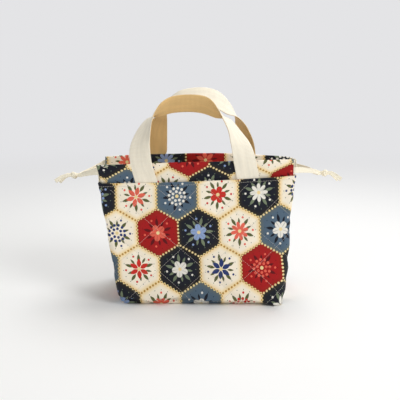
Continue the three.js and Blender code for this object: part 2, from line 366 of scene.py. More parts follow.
class Graph:
    """Adds nodes to a shader's node tree, value by value."""

    def __init__(self, tree: bpy.types.NodeTree) -> None:
        """Keep the tree that nodes are added to."""
        self.tree = tree

    def feed(self, socket: Socket, value: Value) -> None:
        """Link a value to a socket, or set it there if it is plain.

        Args:
            socket: The socket.
            value: Another socket, or a plain value.
        """
        if isinstance(value, bpy.types.NodeSocket):
            self.tree.links.new(value, socket)
        else:
            socket.default_value = value

    def node(self, kind: str, **settings: object) -> bpy.types.Node:
        """Add a node.

        Args:
            kind: The kind of node.
            settings: Its settings, by name.

        Returns:
            The new node.
        """
        made = self.tree.nodes.new(kind)
        for name, value in settings.items():
            setattr(made, name, value)
        return made

    def worked(self, kind: str, operation: str, values: Sequence[Value]) -> bpy.types.Node:
        """Add a node that works something out.

        Args:
            kind: The kind of node.
            operation: What it does.
            values: What it works with, in the order of its inputs.

        Returns:
            The new node.
        """
        made = self.node(kind, operation=operation)
        for socket, value in zip(made.inputs, values):
            self.feed(socket, value)
        return made

    def math(self, operation: str, *values: Value) -> Socket:
        """Work out a number from others."""
        return self.worked("ShaderNodeMath", operation, values).outputs[0]

    def vector(self, operation: str, *values: Value) -> Socket:
        """Work out a vector from others."""
        return self.worked("ShaderNodeVectorMath", operation, values).outputs[0]

    def length(self, vector: Value) -> Socket:
        """Return a vector's length."""
        return self.worked("ShaderNodeVectorMath", "LENGTH", (vector,)).outputs["Value"]

    def scaled(self, vector: Value, factor: Value) -> Socket:
        """Scale a vector or a colour.

        Args:
            vector: The vector or colour.
            factor: The number that it is multiplied by.

        Returns:
            The product.
        """
        made = self.worked("ShaderNodeVectorMath", "SCALE", (vector,))
        self.feed(made.inputs["Scale"], factor)
        return made.outputs[0]

    def mixed(self, share: Value, first: Value, second: Value, kind: Mix = Mix.COLOR) -> Socket:
        """Mix two values of a kind.

        Args:
            share: 0 for the first value, 1 for the second.
            first: The first value.
            second: The second value.
            kind: What the values are.

        Returns:
            The mixed value.
        """
        data_type, first_input, second_input, output = kind.value
        made = self.node("ShaderNodeMix", data_type=data_type)
        for number, value in ((0, share), (first_input, first), (second_input, second)):
            self.feed(made.inputs[number], value)
        return made.outputs[output]

    def mixed_shader(self, share: Value, first: Socket, second: Socket) -> Socket:
        """Mix two shaders.

        Args:
            share: 0 for the first shader, 1 for the second.
            first: The first shader.
            second: The second shader.

        Returns:
            The mixed shader.
        """
        made = self.node("ShaderNodeMixShader")
        for socket, value in zip(made.inputs, (share, first, second)):
            self.feed(socket, value)
        return made.outputs[0]

    def parts(self, vector: Value) -> tuple[Socket, Socket]:
        """Take a vector apart.

        Args:
            vector: The vector.

        Returns:
            Its first two parts.
        """
        made = self.node("ShaderNodeSeparateXYZ")
        self.feed(made.inputs[0], vector)
        return made.outputs[0], made.outputs[1]

    def ranged(self, value: Value, low: float, high: float, to_low: float, to_high: float) -> Socket:
        """Ease a number from one range to another.

        Args:
            value: The number.
            low: Where its range starts.
            high: Where its range ends.
            to_low: What the start becomes.
            to_high: What the end becomes.

        Returns:
            The eased number.
        """
        made = self.node("ShaderNodeMapRange", interpolation_type="SMOOTHSTEP")
        for socket, part in zip(made.inputs, (value, low, high, to_low, to_high)):
            self.feed(socket, part)
        return made.outputs[0]

    def steps(self, value: Value, paints: Sequence[Paint]) -> Socket:
        """Pick a colour by a number, with no fading between colours.

        Args:
            value: The number, from 0 to 1.
            paints: The colours, each for an even share of the range.

        Returns:
            The colour.
        """
        made = self.node("ShaderNodeValToRGB")
        self.feed(made.inputs[0], value)
        ramp = made.color_ramp
        ramp.interpolation = "CONSTANT"
        while len(ramp.elements) < len(paints):
            ramp.elements.new(1.0)
        for count, (element, paint) in enumerate(zip(ramp.elements, paints)):
            element.position = count / len(paints)
            element.color = paint.linear()
        return made.outputs[0]

    def flat_place(self) -> Socket:
        """Return the place on the flat cloth, in metres."""
        return self.node("ShaderNodeUVMap", uv_map=FLAT_MAP).outputs[0]


def new_group(
    name: str, inputs: dict[str, str], outputs: dict[str, str]
) -> tuple[Graph, bpy.types.Node, bpy.types.Node]:
    """Start a shader node group.

    Args:
        name: The group's name.
        inputs: Its inputs, as names and kinds of socket.
        outputs: Its outputs, likewise.

    Returns:
        The group's graph, its input node and its output node.
    """
    tree = bpy.data.node_groups.new(name, "ShaderNodeTree")
    for in_out, sockets in (("INPUT", inputs), ("OUTPUT", outputs)):
        for socket, kind in sockets.items():
            tree.interface.new_socket(name=socket, in_out=in_out, socket_type="NodeSocket" + kind)
    graph = Graph(tree)
    return graph, graph.node("NodeGroupInput"), graph.node("NodeGroupOutput")


def placed_group(graph: Graph, name: str, **values: Value) -> bpy.types.Node:
    """Place a node group in a material.

    Args:
        graph: The material's graph.
        name: The group's name.
        values: Its inputs, with underscores for spaces in their names.

    Returns:
        The group's node.
    """
    made = graph.node("ShaderNodeGroup", node_tree=bpy.data.node_groups[name])
    for socket, value in values.items():
        graph.feed(made.inputs[socket.replace("_", " ")], value)
    return made


WEAVE = "Plain weave"
HANDLING = "Soft handling"
PRINT = "Honeycomb print"

HALF_CELL = (0.5, math.sqrt(3) / 2, 0.5)
CELL_STEP = (0.5, 0.866, 1.0)
HALF_CELL_STEP = (0.25, 0.433, 0.5)
DICE_SHIFT = (13.0, 7.0, 0.0)
ROW_SHIFT = 2.5
FIRST_COLOURWAY = 6.5
BEADS_TO_AN_EDGE = 7


def make_weave_group() -> None:
    """Make the plain weave: warp and weft threads that go over and under each other."""
    graph, given, result = new_group(
        WEAVE,
        {"Place": "Vector", "Warp": "Float", "Weft": "Float"},
        {"Height": "Float"},
    )
    across, along = graph.parts(given.outputs["Place"])
    warp = graph.math("DIVIDE", across, given.outputs["Warp"])
    weft = graph.math("DIVIDE", along, given.outputs["Weft"])

    def thread(over: Socket, under: Socket, turn: float) -> Socket:
        """Shape the threads that lie side by side in one direction.

        Args:
            over: The place counted in these threads.
            under: The place counted in the threads that they cross.
            turn: Half the rise, below 0 for threads that go under first.

        Returns:
            Their height.
        """
        crown = graph.math("ABSOLUTE", graph.math("SINE", graph.math("MULTIPLY", over, math.pi)))
        parity = graph.math("COSINE", graph.math("MULTIPLY", graph.math("FLOOR", over), math.pi))
        phase = graph.math("MULTIPLY_ADD", under, math.pi, -math.pi / 2)
        wave = graph.math("MULTIPLY", parity, graph.math("COSINE", phase))
        rise = graph.math("MULTIPLY_ADD", wave, turn, 0.5)
        return graph.math("MULTIPLY", crown, rise)

    height = graph.math("MAXIMUM", thread(warp, weft, 0.5), thread(weft, warp, -0.5))
    graph.feed(result.inputs["Height"], height)


def make_handling_group() -> None:
    """Make the marks of handling: soft shading and gloss that vary over a cloth."""
    graph, given, result = new_group(
        HANDLING,
        {"Place": "Vector", "Size": "Float", "Amount": "Float"},
        {"Shade": "Float", "Roughness": "Float"},
    )
    place = graph.scaled(given.outputs["Place"], graph.math("DIVIDE", 1.0, given.outputs["Size"]))
    clouds = graph.node("ShaderNodeTexNoise", noise_dimensions="2D")
    graph.feed(clouds.inputs["Vector"], place)
    clouds.inputs["Scale"].default_value = 1.0
    clouds.inputs["Detail"].default_value = 5.0
    swing = graph.math("SUBTRACT", clouds.outputs["Fac"], 0.5)
    shade = graph.math("MULTIPLY_ADD", swing, given.outputs["Amount"], 1.0)
    graph.feed(result.inputs["Shade"], shade)
    graph.feed(result.inputs["Roughness"], graph.math("MULTIPLY_ADD", swing, 0.25, 0.85))


@dataclass(frozen=True)
class Colourway:
    """The colours of one kind of cell in the print."""

    ground: Paint
    petal: Paint
    leaf: Paint
    edge: Paint
    bead: Paint


COLOURWAYS = (
    Colourway(Paint.CREAM, Paint.SCARLET, Paint.OLIVE, Paint.HONEY, Paint.OCHRE),
    Colourway(Paint.NAVY, Paint.IVORY, Paint.SAGE, Paint.UMBER, Paint.BEAD),
    Colourway(Paint.CREAM, Paint.INK, Paint.OLIVE, Paint.HONEY, Paint.OCHRE),
    Colourway(Paint.RED, Paint.CORAL, Paint.MAROON, Paint.RUST, Paint.BEAD),
    Colourway(Paint.NAVY, Paint.SKY, Paint.SAGE, Paint.UMBER, Paint.BEAD),
    Colourway(Paint.CREAM, Paint.CORAL, Paint.OLIVE, Paint.HONEY, Paint.OCHRE),
    Colourway(Paint.SLATE, Paint.IVORY, Paint.NAVY, Paint.MOSS, Paint.BEAD),
)


@dataclass(frozen=True)
class Motif:
    """Draws the motifs of a cell, each as a mask that is 1 where it shows."""

    graph: Graph
    radius: Socket
    angle: Socket

    def sector(self, count: int, shift: float = 0.0) -> Socket:
        """Return the angle from the middle of the nearest of some even sectors."""
        moved = self.graph.math("ADD", self.angle, shift)
        return self.graph.math("WRAP", moved, math.pi / count, -math.pi / count)

    def disc(self, reach: Value) -> Socket:
        """Draw a disc, or another shape whose reach differs from angle to angle."""
        return self.graph.math("LESS_THAN", self.radius, reach)

    def petals(self, count: int, least: float, most: float) -> Socket:
        """Draw a flower with rounded petals.

        Args:
            count: How many petals it has.
            least: How far it reaches between petals.
            most: How far its petals reach.

        Returns:
            The mask.
        """
        wave = self.graph.math("COSINE", self.graph.math("MULTIPLY", self.sector(count), count / 2))
        rounded = self.graph.math("POWER", wave, 0.7)
        return self.disc(self.graph.math("MULTIPLY_ADD", rounded, most - least, least))

    def berries(self, count: int, ring: float, size: float) -> Socket:
        """Draw a ring of round berries.

        Args:
            count: How many berries there are.
            ring: The ring's radius.
            size: A berry's radius.

        Returns:
            The mask.
        """
        math_node = self.graph.math
        aside = math_node("MULTIPLY", self.sector(count), self.radius)
        off = math_node("SUBTRACT", self.radius, ring)
        squares = math_node("ADD", math_node("MULTIPLY", aside, aside), math_node("MULTIPLY", off, off))
        return math_node("LESS_THAN", math_node("SQRT", squares), size)

    def leaves(self, count: int, start: float, end: float, width: float, shift: float) -> Socket:
        """Draw a ring of pointed leaves.

        Args:
            count: How many leaves there are.
            start: How far out they start.
            end: How far out they end.
            width: Half a leaf's width.
            shift: How far they are turned.

        Returns:
            The mask.
        """
        math_node = self.graph.math
        share = math_node("MULTIPLY_ADD", self.radius, 1 / (end - start), -start / (end - start))
        held = math_node("MINIMUM", math_node("MAXIMUM", share, 0.0), 1.0)
        swell = math_node("SINE", math_node("MULTIPLY", held, math.pi))
        aside = math_node("ABSOLUTE", math_node("MULTIPLY", self.sector(count, shift), self.radius))
        return math_node("LESS_THAN", aside, math_node("MULTIPLY", swell, width))

    def together(self, first: Socket, *others: Socket) -> Socket:
        """Draw several masks as one.

        Args:
            first: The first mask.
            others: The other masks.

        Returns:
            The mask.
        """
        for other in others:
            first = self.graph.math("MAXIMUM", first, other)
        return first


def make_print_group() -> None:
    """Make the print: a honeycomb of coloured cells edged with beads, with a flower in each."""
    graph, given, result = new_group(PRINT, {"Place": "Vector", "Cell": "Float"}, {"Color": "Color"})
    place = graph.scaled(given.outputs["Place"], graph.math("DIVIDE", 1.0, given.outputs["Cell"]))
    minus_half = tuple(-part for part in HALF_CELL)
    slant = HALF_CELL[1]
    even = graph.vector("WRAP", place, HALF_CELL, minus_half)
    shifted = graph.vector("SUBTRACT", place, (HALF_CELL[0], slant, 0.0))
    odd = graph.vector("WRAP", shifted, HALF_CELL, minus_half)
    nearer = graph.math("LESS_THAN", graph.length(even), graph.length(odd))
    local = graph.mixed(nearer, odd, even, Mix.VECTOR)
    middle = graph.vector("SUBTRACT", place, local)
    cell = graph.vector("SNAP", graph.vector("ADD", middle, HALF_CELL_STEP), CELL_STEP)

    dice = graph.node("ShaderNodeTexWhiteNoise", noise_dimensions="2D")
    graph.feed(dice.inputs["Vector"], graph.vector("ADD", cell, DICE_SHIFT))
    rolls = graph.node("ShaderNodeSeparateColor")
    graph.feed(rolls.inputs[0], dice.outputs["Color"])
    tint_roll, motif_roll, turn_roll = rolls.outputs
    column, row = graph.parts(cell)
    row = graph.math("DIVIDE", row, CELL_STEP[1])
    order = graph.math("ROUND", graph.math("MULTIPLY_ADD", row, ROW_SHIFT, column))
    kinds = float(len(COLOURWAYS))
    kind = graph.math("WRAP", graph.math("ADD", order, FIRST_COLOURWAY), kinds, 0.0)
    kind = graph.math("DIVIDE", kind, kinds)

    x, y = graph.parts(local)
    wide = graph.math("ABSOLUTE", x)
    tall = graph.math("ABSOLUTE", y)
    slanted = graph.math("MULTIPLY_ADD", tall, slant, graph.math("MULTIPLY", wide, 0.5))
    border = graph.math("SUBTRACT", 0.5, graph.math("MAXIMUM", wide, slanted))
    upright = graph.math("GREATER_THAN", wide, slanted)
    slant_along = graph.math("MULTIPLY_ADD", wide, slant, graph.math("MULTIPLY", tall, -0.5))
    edge_along = graph.mixed(upright, slant_along, tall, Mix.NUMBER)
    bead_step = 1 / math.sqrt(3) / BEADS_TO_AN_EDGE
    beside = graph.math("WRAP", edge_along, bead_step / 2, -bead_step / 2)
    beside_squared = graph.math("POWER", graph.math("ABSOLUTE", beside), 2.0)
    border_squared = graph.math("POWER", border, 2.0)
    from_bead = graph.math("SQRT", graph.math("ADD", beside_squared, border_squared))
    bead = graph.ranged(from_bead, 0.022, 0.028, 1.0, 0.0)

    turn = graph.math("MULTIPLY", turn_roll, 2 * math.pi)
    angle = graph.math("ADD", graph.math("ARCTAN2", y, x), turn)
    motif = Motif(graph, graph.length(local), angle)
    flower = motif.petals(count=8, least=0.08, most=0.22)
    blossom = motif.petals(count=5, least=0.10, most=0.20)
    wreath = motif.together(
        motif.berries(count=12, ring=0.195, size=0.034),
        motif.berries(count=7, ring=0.110, size=0.034),
        motif.disc(0.036),
    )
    star = motif.leaves(count=6, start=0.03, end=0.25, width=0.055, shift=0.0)
    for least_roll, other in ((0.26, blossom), (0.50, wreath), (0.80, star)):
        shown = graph.math("GREATER_THAN", motif_roll, least_roll)
        flower = graph.mixed(shown, flower, other, Mix.NUMBER)
    sprigs = motif.together(
        motif.leaves(count=5, start=0.15, end=0.36, width=0.036, shift=0.4),
        motif.leaves(count=5, start=0.15, end=0.31, width=0.026, shift=0.95),
    )
    buds = motif.berries(count=5, ring=0.325, size=0.026)
    seeds = motif.berries(count=15, ring=0.385, size=0.010)
    heart = motif.disc(0.042)
    from_vein = graph.math("ABSOLUTE", motif.sector(5))
    veins = graph.math("MULTIPLY", flower, graph.ranged(from_vein, 0.0, 0.10, 0.45, 0.0))

    ground = graph.steps(kind, [way.ground for way in COLOURWAYS])
    petal = graph.steps(kind, [way.petal for way in COLOURWAYS])
    leaf = graph.steps(kind, [way.leaf for way in COLOURWAYS])
    edge = graph.steps(kind, [way.edge for way in COLOURWAYS])
    bead_paint = graph.steps(kind, [way.bead for way in COLOURWAYS])
    glow = graph.ranged(border, 0.0, 0.12, 0.75, 0.0)
    color = ground
    for mask, paint in (
        (glow, edge), (seeds, leaf), (sprigs, leaf), (buds, petal), (flower, petal),
        (veins, leaf), (heart, Paint.BEAD.linear()), (bead, bead_paint),
    ):
        color = graph.mixed(mask, color, paint)
    tint = graph.math("MULTIPLY_ADD", tint_roll, 0.10, 0.95)
    graph.feed(result.inputs["Color"], graph.scaled(color, tint))


@dataclass(frozen=True)
class Woven:
    """A plain cotton weave: its colours, its size, how it is marked and how it takes the light."""

    name: str
    thread: Paint
    gap: Paint
    warp: float
    weft: float
    relief: float
    handled: float = 0.10
    patch: float = 0.030
    stretch: float = 1.0
    sheen: float = 0.12
    sheen_roughness: float = 0.5
    specular: float = 0.25
    bump: float = 0.6
    thread_height: float = 0.7

    def color(self, graph: Graph, place: Socket, height: Socket) -> Socket:
        """Return the cloth's colour before handling, with the darker gap colour as painted shade between
        the threads.
        """
        share = graph.ranged(height, 0.0, self.thread_height, 0.0, 1.0)
        return graph.mixed(share, self.gap.linear(), self.thread.linear())

    def material(self) -> bpy.types.Material:
        """Make the cloth's material, or return it if it is made.

        Returns:
            The material.
        """
        made = bpy.data.materials.get(self.name)
        if made:
            return made
        made = bpy.data.materials.new(self.name)
        made.use_nodes = True
        graph = Graph(made.node_tree)
        shader = made.node_tree.nodes["Principled BSDF"]
        place = graph.flat_place()
        weave = placed_group(graph, WEAVE, Place=place, Warp=self.warp, Weft=self.weft)
        stretched = graph.vector("MULTIPLY", place, (1.0, 1.0 / self.stretch, 1.0))
        marks = placed_group(graph, HANDLING, Place=stretched, Size=self.patch, Amount=self.handled)
        color = self.color(graph, place, weave.outputs["Height"])
        graph.feed(shader.inputs["Base Color"], graph.scaled(color, marks.outputs["Shade"]))
        graph.feed(shader.inputs["Roughness"], marks.outputs["Roughness"])
        shader.inputs["Sheen Weight"].default_value = self.sheen
        shader.inputs["Sheen Roughness"].default_value = self.sheen_roughness
        shader.inputs["Specular IOR Level"].default_value = self.specular
        bump = graph.node("ShaderNodeBump")
        bump.inputs["Strength"].default_value = self.bump
        bump.inputs["Distance"].default_value = self.relief
        graph.feed(bump.inputs["Height"], weave.outputs["Height"])
        graph.feed(shader.inputs["Normal"], bump.outputs[0])
        return made


@dataclass(frozen=True)
class Printed(Woven):
    """A plain cotton weave with the honeycomb print."""

    cell: float = 0.058
    gap_shade: float = 0.90

    def color(self, graph: Graph, place: Socket, height: Socket) -> Socket:
        """Return the print's colour, a little darker between the threads.

        Args:
            graph: The material's graph.
            place: The place on the flat cloth.
            height: The weave's height there.

        Returns:
            The colour before handling.
        """
        design = placed_group(graph, PRINT, Place=place, Cell=self.cell)
        shade = graph.ranged(height, 0.0, self.thread_height, self.gap_shade, 1.0)
        return graph.scaled(design.outputs["Color"], shade)


PRINTED_COTTON = Printed(
    "honeycomb_print", Paint.CREAM, Paint.CREAM, 0.0006, 0.0006, 0.00008, sheen=0.08,
)
LINING_COTTON = Woven("cream_lining", Paint.LINING, Paint.LINING_GAP, 0.0006, 0.0006, 0.00008)
WEBBING = Woven(
    "cream_webbing", Paint.WEBBING, Paint.WEBBING_GAP, 0.0016, 0.0018, 0.00025,
    handled=0.22, patch=0.005, stretch=9.0,
)
# Finish of the webbing's inner faces: painted shade, with some tan of their own.
WEBBING_INSIDE_SHADED = Woven(
    "tan_webbing", Paint.WEBBING_INSIDE_SHADED, Paint.WEBBING_INSIDE_GAP, 0.0016, 0.0018, 0.00025,
    handled=0.22, patch=0.005, stretch=9.0,
)
TAPE = Woven("cream_tape", Paint.TAPE, Paint.TAPE_GAP, 0.0009, 0.0012, 0.00015)
THREAD = Woven("sewing_thread", Paint.THREAD, Paint.THREAD_GAP, 0.0004, 0.0008, 0.00008, handled=0.05)


@dataclass(frozen=True)
class Settle:
    """How the soft bag has settled.

    Its long walls fold in over the base along a wavy crease, and stand a little higher. Its top leans
    aside, its front rim rises from one end to the other, with the casing's top following less, and its
    back rim droops at both ends and is pulled out wider.
    """

    height: float
    half_width: float
    half_depth: float
    base_half_depth: float
    stand: float = 0.005
    stand_height: float = 0.036
    tuck: float = 0.010
    tuck_reach: float = 0.0035
    crease: Sequence[tuple[float, float]] = (
        (-0.130, 0.0100), (-0.107, 0.0105), (-0.075, 0.0060), (-0.053, 0.0100), (-0.014, 0.0090),
        (0.018, 0.0056), (0.051, 0.0062), (0.072, 0.0072), (0.095, 0.0020), (0.130, -0.0040),
    )
    aside: float = -0.006
    rim_lift: tuple[float, float, float] = (0.0022, 0.0056, 0.0025)
    top_lift: tuple[float, float] = (0.0012, 0.0042)
    casing_height: float = 0.028
    crown: float = 0.0015
    droop: float = 0.006
    widening: float = 0.035
    widening_drop: float = 0.005
    widening_reach: float = 0.02
    step: float = 0.002

    def tucked(self, points: Array) -> Array:
        """Tuck the long walls in below their crease, and let them stand higher above it.

        Args:
            points: Points of the upright bag.

        Returns:
            The moved points.
        """
        x, y, z = np.moveaxis(np.array(points, float), -1, 0)
        line = smooth_route([(place, height, 0.0) for place, height in self.crease], self.step)
        crease = np.interp(x, line[:, 0], line[:, 1])
        below = 1 - eased((z - crease) / self.tuck_reach + 0.5)
        inward = self.tuck * below * y / self.base_half_depth
        return np.stack([x, y - inward, z + self.stand * eased(z / self.stand_height)], axis=-1)

    def placed(self, points: Array) -> Array:
        """Move points of the upright bag to where they lie on the settled one.

        Args:
            points: Points of the upright bag.

        Returns:
            The moved points.
        """
        share = eased(points[..., 2] / self.height)
        back = eased(0.5 + points[..., 1] / (2 * self.half_depth))
        out = np.clip(points[..., 0] / self.half_width, -1.0, 1.0)
        above_rim = eased((points[..., 2] - self.height + self.widening_drop) / self.widening_reach)
        over = eased((points[..., 2] - self.height) / self.casing_height)
        rim = self.rim_lift[0] + out * (self.rim_lift[1] + out * self.rim_lift[2])
        top = self.top_lift[0] + out * self.top_lift[1]
        front_lift = rim + (top - rim) * over
        lift = (1 - back) * front_lift + back * (self.crown - self.droop * np.square(out))
        moved = self.tucked(points)
        moved[..., 0] += self.aside * share + self.widening * self.half_width * out * back * above_rim
        moved[..., 2] += lift * share
        return moved


@dataclass(frozen=True)
class BagForm:
    """The upright bag's outside: a boxed base that runs evenly to a wider and shallower rim."""

    rim_width: float
    base_depth: float
    height: float
    base_width: float = 0.236
    rim_depth: float = 0.092
    base_corner: float = 0.014
    rim_corner: float = 0.004
    plumb_to: float = 0.009
    base_edge: float = 0.004
    belly: float = 0.004
    seam_allowance: float = 0.012
    least_corner: float = 0.0005

    @classmethod
    def of_frame(cls) -> "BagForm":
        """Take the rim's width, the base's depth and the height from the front panel's solid."""
        low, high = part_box(f"outer_{Side.FRONT.word}")
        return cls(rim_width=high.x - low.x, base_depth=-2 * low.y, height=high.z)

    def half_sizes(self, z: Array, inset: Array) -> tuple[Array, Array, Array]:
        """Find the sizes of a level outline.

        Args:
            z: Its height.
            inset: Its distance in from the outside.

        Returns:
            Its half width, half depth and corner radius.
        """
        rise = np.clip((z - self.plumb_to) / (self.height - self.plumb_to), 0.0, 1.0)
        half_width = (self.base_width + (self.rim_width - self.base_width) * rise) / 2 - inset
        half_depth = (self.base_depth + (self.rim_depth - self.base_depth) * rise) / 2 - inset
        corner = self.base_corner + (self.rim_corner - self.base_corner) * rise - inset
        return half_width, half_depth, np.maximum(corner, self.least_corner)

    def reach(self, z: Array, inset: Array) -> Array:
        """Return the length of a level line from the front's middle to the side seam."""
        half_width, half_depth, corner = self.half_sizes(z, inset)
        return half_width + half_depth + (math.pi / 2 - 2) * corner

    def level(self, share: Array, z: Array, inset: Array) -> Array:
        """Find points of the front half's level lines.

        Args:
            share: How far from the front's middle to a side seam, from -1 at the left to 1.
            z: The heights.
            inset: The distances in from the outside.

        Returns:
            The points.
        """
        half_width, half_depth, corner = self.half_sizes(z, inset)
        along = np.abs(share) * self.reach(z, inset)
        straight = half_width - corner
        angle = np.clip((along - straight) / corner, 0.0, math.pi / 2)
        past = np.maximum(along - straight - corner * math.pi / 2, 0.0)
        x = np.minimum(along, straight) + corner * np.sin(angle)
        y = -(half_depth - corner) - corner * np.cos(angle) + past
        wall = self.height - self.seam_allowance - self.plumb_to
        rise = np.clip((z - self.plumb_to) / wall, 0.0, 1.0)
        swell = self.belly * np.sin(math.pi * rise) * np.clip(1 - np.square(along / straight), 0.0, 1.0)
        return np.stack([np.sign(share) * x, y - swell, z + 0 * x], axis=-1)

    def front_depth(self, z: float, inset: float) -> float:
        """Return the front's place across the bag, at a height and a distance in."""
        return float(-self.half_sizes(np.array(z), np.array(inset))[1])


@dataclass(frozen=True)
class Quilting:
    """Diagonal quilting: its diamonds, where one of their crossings lies, and how much they puff."""

    half_diamond_width: float = 0.034
    half_diamond_height: float = 0.0295
    crossing_across: float = 0.0075
    crossing_height: float = 0.166
    puff: float = 0.0027
    puff_power: float = 2.2
    mean_share: float = 0.6
    pucker: float = 0.00055
    pucker_length: float = 0.007
    pucker_reach: float = 0.008
    step: float = 0.0008
    spare_lines: int = 5
    least_points: int = 5

    def counts(self, across: Array, along: Array) -> tuple[Array, Array]:
        """Count places in lines of stitches.

        Args:
            across: Places across the flat panel.
            along: Places along it.

        Returns:
            The counts in lines of one slant, and of the other.
        """
        a = (across - self.crossing_across) / (2 * self.half_diamond_width)
        b = (along - self.crossing_height) / (2 * self.half_diamond_height)
        return a + b, a - b

    @property
    def line_spacing(self) -> float:
        """Return the distance between neighbouring lines of one slant."""
        a, b = self.half_diamond_width, self.half_diamond_height
        return 2 * a * b / math.hypot(a, b)

    def line_distance(self, across: Array, along: Array) -> Array:
        """Return the distance to the nearest line of stitches."""
        nearest = [np.abs(count - np.round(count)) for count in self.counts(across, along)]
        return np.minimum(*nearest) * self.line_spacing

    def heights(self, across: Array, along: Array, seed: float) -> Array:
        """Puff the cloth over the padding.

        Args:
            across: Places across the flat panel.
            along: Places along it.
            seed: A number that picks the puckers.

        Returns:
            How far the cloth stands out there, about its mean.
        """
        away = self.line_distance(across, along)
        share = np.clip(away / (self.line_spacing / 2), 0.0, 1.0)
        puffed = self.puff * (1 - (1 - share) ** self.puff_power)
        puckers = ripple(across, along, self.pucker_length, seed) * bell(away, self.pucker_reach)
        return puffed + self.pucker * puckers - self.mean_share * self.puff

    def lines(self, half_width: float, low: float, high: float) -> list[Array]:
        """Lay out the lines of stitches.

        Args:
            half_width: The furthest place across.
            low: The lowest place.
            high: The highest place.

        Returns:
            Lines of places across and along the flat panel.
        """
        along = np.arange(low, high, self.step)
        slope = (along - self.crossing_height) / (2 * self.half_diamond_height)
        found = []
        most = math.ceil(half_width / (2 * self.half_diamond_width)) + self.spare_lines
        for count in range(-most, most + 1):
            for slant in (-1, 1):
                across = self.crossing_across + 2 * self.half_diamond_width * (count + slant * slope)
                kept = np.abs(across) < half_width
                if kept.sum() >= self.least_points:
                    found.append(np.column_stack([across[kept], along[kept]]))
        return found


@dataclass(frozen=True)
class Stitching:
    """Lines of machine stitches, each a short length of thread that dips into the cloth at its ends.

    A stitch has rings of points at shares of its length, with sizes and lifts as shares of its radius.
    """

    length: float = 0.0028
    gap: float = 0.0004
    radius: float = 0.00018
    sides: int = 6
    shares: tuple[float, ...] = (0.0, 0.15, 0.5, 0.85, 1.0)
    ring_sizes: tuple[float, ...] = (0.35, 0.9, 1.0, 0.9, 0.35)
    ring_lifts: tuple[float, ...] = (-0.8, 0.25, 0.7, 0.25, -0.8)

    def sewn(self, points: Array, normals: Array) -> Mould:
        """Sew along a line on a cloth.

        Args:
            points: The line's points.
            normals: The directions that the cloth faces there.

        Returns:
            The mesh of the stitches.
        """
        along = distances_along(points)
        starts = np.arange(self.gap, along[-1] - self.length, self.length + self.gap)
        shares = np.array(self.shares)
        sizes = np.array(self.ring_sizes) * self.radius
        lifts = np.array(self.ring_lifts) * self.radius
        angles = np.linspace(0.0, 2 * math.pi, self.sides, endpoint=False)
        rings = []
        flat = []
        for start in starts:
            places = start + shares * self.length
            middle = np.column_stack([np.interp(places, along, column) for column in points.T])
            out = unit(np.column_stack([np.interp(places, along, column) for column in normals.T]))
            aside = unit(np.cross(out, middle[-1] - middle[0]))
            ring = (
                np.cos(angles)[None, :, None] * aside[:, None, :]
                + np.sin(angles)[None, :, None] * out[:, None, :]
            )
            lifted = middle[:, None, :] + out[:, None, :] * lifts[:, None, None]
            rings.append(lifted + ring * sizes[:, None, None])
            spread = np.broadcast_to(angles[None, :] * self.radius, (len(shares), self.sides))
            flat.append(np.stack([spread, np.broadcast_to(places[:, None], spread.shape)], axis=-1))
        faces: list[tuple[int, ...]] = []
        for stitch in range(len(starts)):
            faces += tube_faces(stitch * len(shares) * self.sides, len(shares), self.sides)
        return Mould(np.array(rings).reshape(-1, 3), faces, np.array(flat).reshape(-1, 2))


def tube_faces(first: int, rings: int, sides: int) -> list[tuple[int, ...]]:
    """List the faces of a tube with closed ends.

    Args:
        first: The number of its first point.
        rings: How many rings of points it has.
        sides: How many points a ring has.

    Returns:
        The faces, each as the numbers of its points.
    """
    faces: list[tuple[int, ...]] = [tuple(first + side for side in range(sides))]
    for ring in range(rings - 1):
        for side in range(sides):
            a = first + ring * sides + side
            b = first + ring * sides + (side + 1) % sides
            faces.append((a, a + sides, b + sides, b))
    last = first + (rings - 1) * sides
    faces.append(tuple(last + side for side in reversed(range(sides))))
    return faces


def seated(piece: Piece, body: str, slot: str, *nodes: str) -> Piece:
    """Seat a piece on a body, and hide the nodes that it stands for."""
    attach(piece, body)
    return dressed(piece, slot, *nodes)


def dressed(piece: Piece, slot: str, *nodes: str) -> Piece:
    """Hide the nodes that a piece stands for, and report it.

    Args:
        piece: The piece.
        slot: Not used.
        nodes: The nodes that it stands for, if any.

    Returns:
        The piece.
    """
    if nodes:
        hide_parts(*nodes)
    LOG.info("%s: %d faces", piece.name, len(piece.data.polygons))
    return piece


